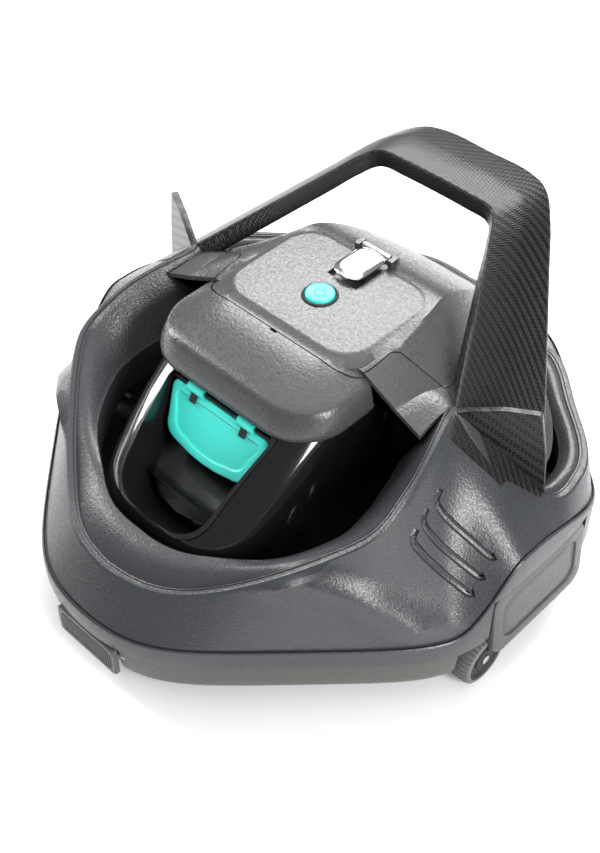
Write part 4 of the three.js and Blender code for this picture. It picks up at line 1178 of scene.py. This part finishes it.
def build_wheel(name):
    low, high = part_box(f"tyre_{name}")
    centre = node_centre(f"tyre_{name}")
    radius = (high.z - low.z) / 2 / MM
    half = (high.x - low.x) / 2 / MM
    inner = radius - 4
    side = 1 if centre[0] > 0 else -1
    profile = [(inner, -half), (radius - 2.2, -half), (radius - 1.0, -half + 0.8),
               (radius - 0.1, -half * 0.5), (radius, 0), (radius - 0.1, half * 0.5),
               (radius - 1.0, half - 0.8), (radius - 2.2, half), (inner, half)]
    steps = TREAD_GROOVES * 4
    rings = []
    for r, x in profile:
        row = []
        for i in range(steps):
            turn = 2 * math.pi * i / steps
            groove = TREAD_DEPTH if i % 4 == 0 and r > radius - 1.5 else 0
            row.append((centre[0] + x, centre[1] + (r - groove) * math.cos(turn),
                        centre[2] + (r - groove) * math.sin(turn)))
        rings.append(row)
    tyre = loft(f"tyre_skin_{name}", rings, wrap=True)
    dress(tyre, wheel_finish, f"wheel_{name}", [f"tyre_{name}"], angle=30)
    hub_radius = inner - 0.3
    hub_half = half - 0.2
    hub_profile = [(3.4, -hub_half), (hub_radius, -hub_half), (hub_radius, hub_half),
                   (hub_radius - 0.8, hub_half), (hub_radius - 1.6, hub_half - 1.2), (7.5, hub_half - 2.2),
                   (6.8, hub_half - 0.6), (5, hub_half - 0.3), (3.4, hub_half - 0.6)]
    rows = []
    for r, x in hub_profile:
        rows.append([(centre[0] + side * x, centre[1] + r * math.cos(2 * math.pi * i / 48),
                      centre[2] + r * math.sin(2 * math.pi * i / 48)) for i in range(48)])
    hub = loft(f"hub_skin_{name}", rows, wrap=True)
    dress(hub, rubber_finish, f"wheel_{name}", [f"wheel_hub_{name}"], angle=35)


# ------------------------------------------------------------------ CAD nodes that stay
STAYING = {
    "steel": steel_finish, "rubber": rubber_finish, "inside": inside_finish, "battery": battery_finish,
    "circuit": circuit_finish, "visor": visor_finish,
}


def dress_staying_nodes():
    slots = {entry["node"]: entry["material_slot"] for entry in frame["record"]["subparts"]}
    for name, part in frame["nodes"].items():
        if part.hide_render:
            continue
        part.data.materials.clear()
        part.data.materials.append(dark_steel if name == "outlet_flap_pin" else STAYING[slots[name]])
        smooth(part, 35)
        soften(part, 0.25)


# ------------------------------------------------------------------ light and camera
def area_light(name, place, target, size, energy, colour=(1, 1, 1)):
    data = bpy.data.lights.new(name, "AREA")
    data.shape = "RECTANGLE"
    data.size, data.size_y = size
    data.energy = energy
    data.color = colour
    lamp = placed(name, data)
    lamp.location = place
    aim = Vector(target) - Vector(place)
    lamp.rotation_euler = aim.to_track_quat("-Z", "Y").to_euler()


CAMERA_PLACE = (0.40204, -0.42981, 0.66013)
CAMERA_TILT = 44.69
CAMERA_TURN = 44.01
CAMERA_LENS = 56.46


def build_studio():
    reach = 6.0
    points = [(-reach, -reach, 0), (reach, -reach, 0), (reach, reach, 0), (-reach, reach, 0)]
    mesh = bpy.data.meshes.new("studio_floor")
    mesh.from_pydata(points, [], [(0, 1, 2, 3)])
    floor = placed("studio_floor", mesh)
    finish = bpy.data.materials.new("studio_floor")
    finish.use_nodes = True
    shader = finish.node_tree.nodes["Principled BSDF"]
    shader.inputs["Base Color"].default_value = (0.9, 0.905, 0.91, 1)
    shader.inputs["Roughness"].default_value = 0.9
    shader.inputs["Specular IOR Level"].default_value = 0.1
    mesh.materials.append(finish)
    world = bpy.data.worlds.new("studio")
    world.use_nodes = True
    sky = world.node_tree.nodes["Background"]
    sky.inputs["Color"].default_value = (0.95, 0.98, 1.0, 1)
    sky.inputs["Strength"].default_value = 0.28
    bpy.context.scene.world = world
    centre = (0, 0, 0.1)
    area_light("top_back", (-0.45, 0.95, 1.2), centre, (1.4, 0.7), 38)
    area_light("left_strip", (-1.2, -0.35, 0.75), centre, (0.3, 1.3), 18)
    area_light("right_fill", (1.3, -0.25, 0.75), centre, (0.35, 0.9), 24)
    area_light("floor_light", (0, 0, 3.4), centre, (4, 4), 66)
    data = bpy.data.cameras.new("camera")
    data.lens = CAMERA_LENS
    data.sensor_width = 36
    camera = placed("camera", data)
    camera.location = CAMERA_PLACE
    camera.rotation_euler = (math.radians(CAMERA_TILT), 0, math.radians(CAMERA_TURN))
    bpy.context.scene.camera = camera
    bpy.context.scene.view_settings.view_transform = "Standard"


# ------------------------------------------------------------------ assembly
build_studio()
build_hull()
build_tray()
build_covers()
build_pod()
build_duct()
build_flap()
build_button()
build_tab()
build_handle()
for panel_name in ("right", "left"):
    build_panel(panel_name)
for latch_name in ("front_latch", "rear_latch"):
    build_latch(latch_name)
for wheel_name in WHEELS:
    build_wheel(wheel_name)
dress_staying_nodes()
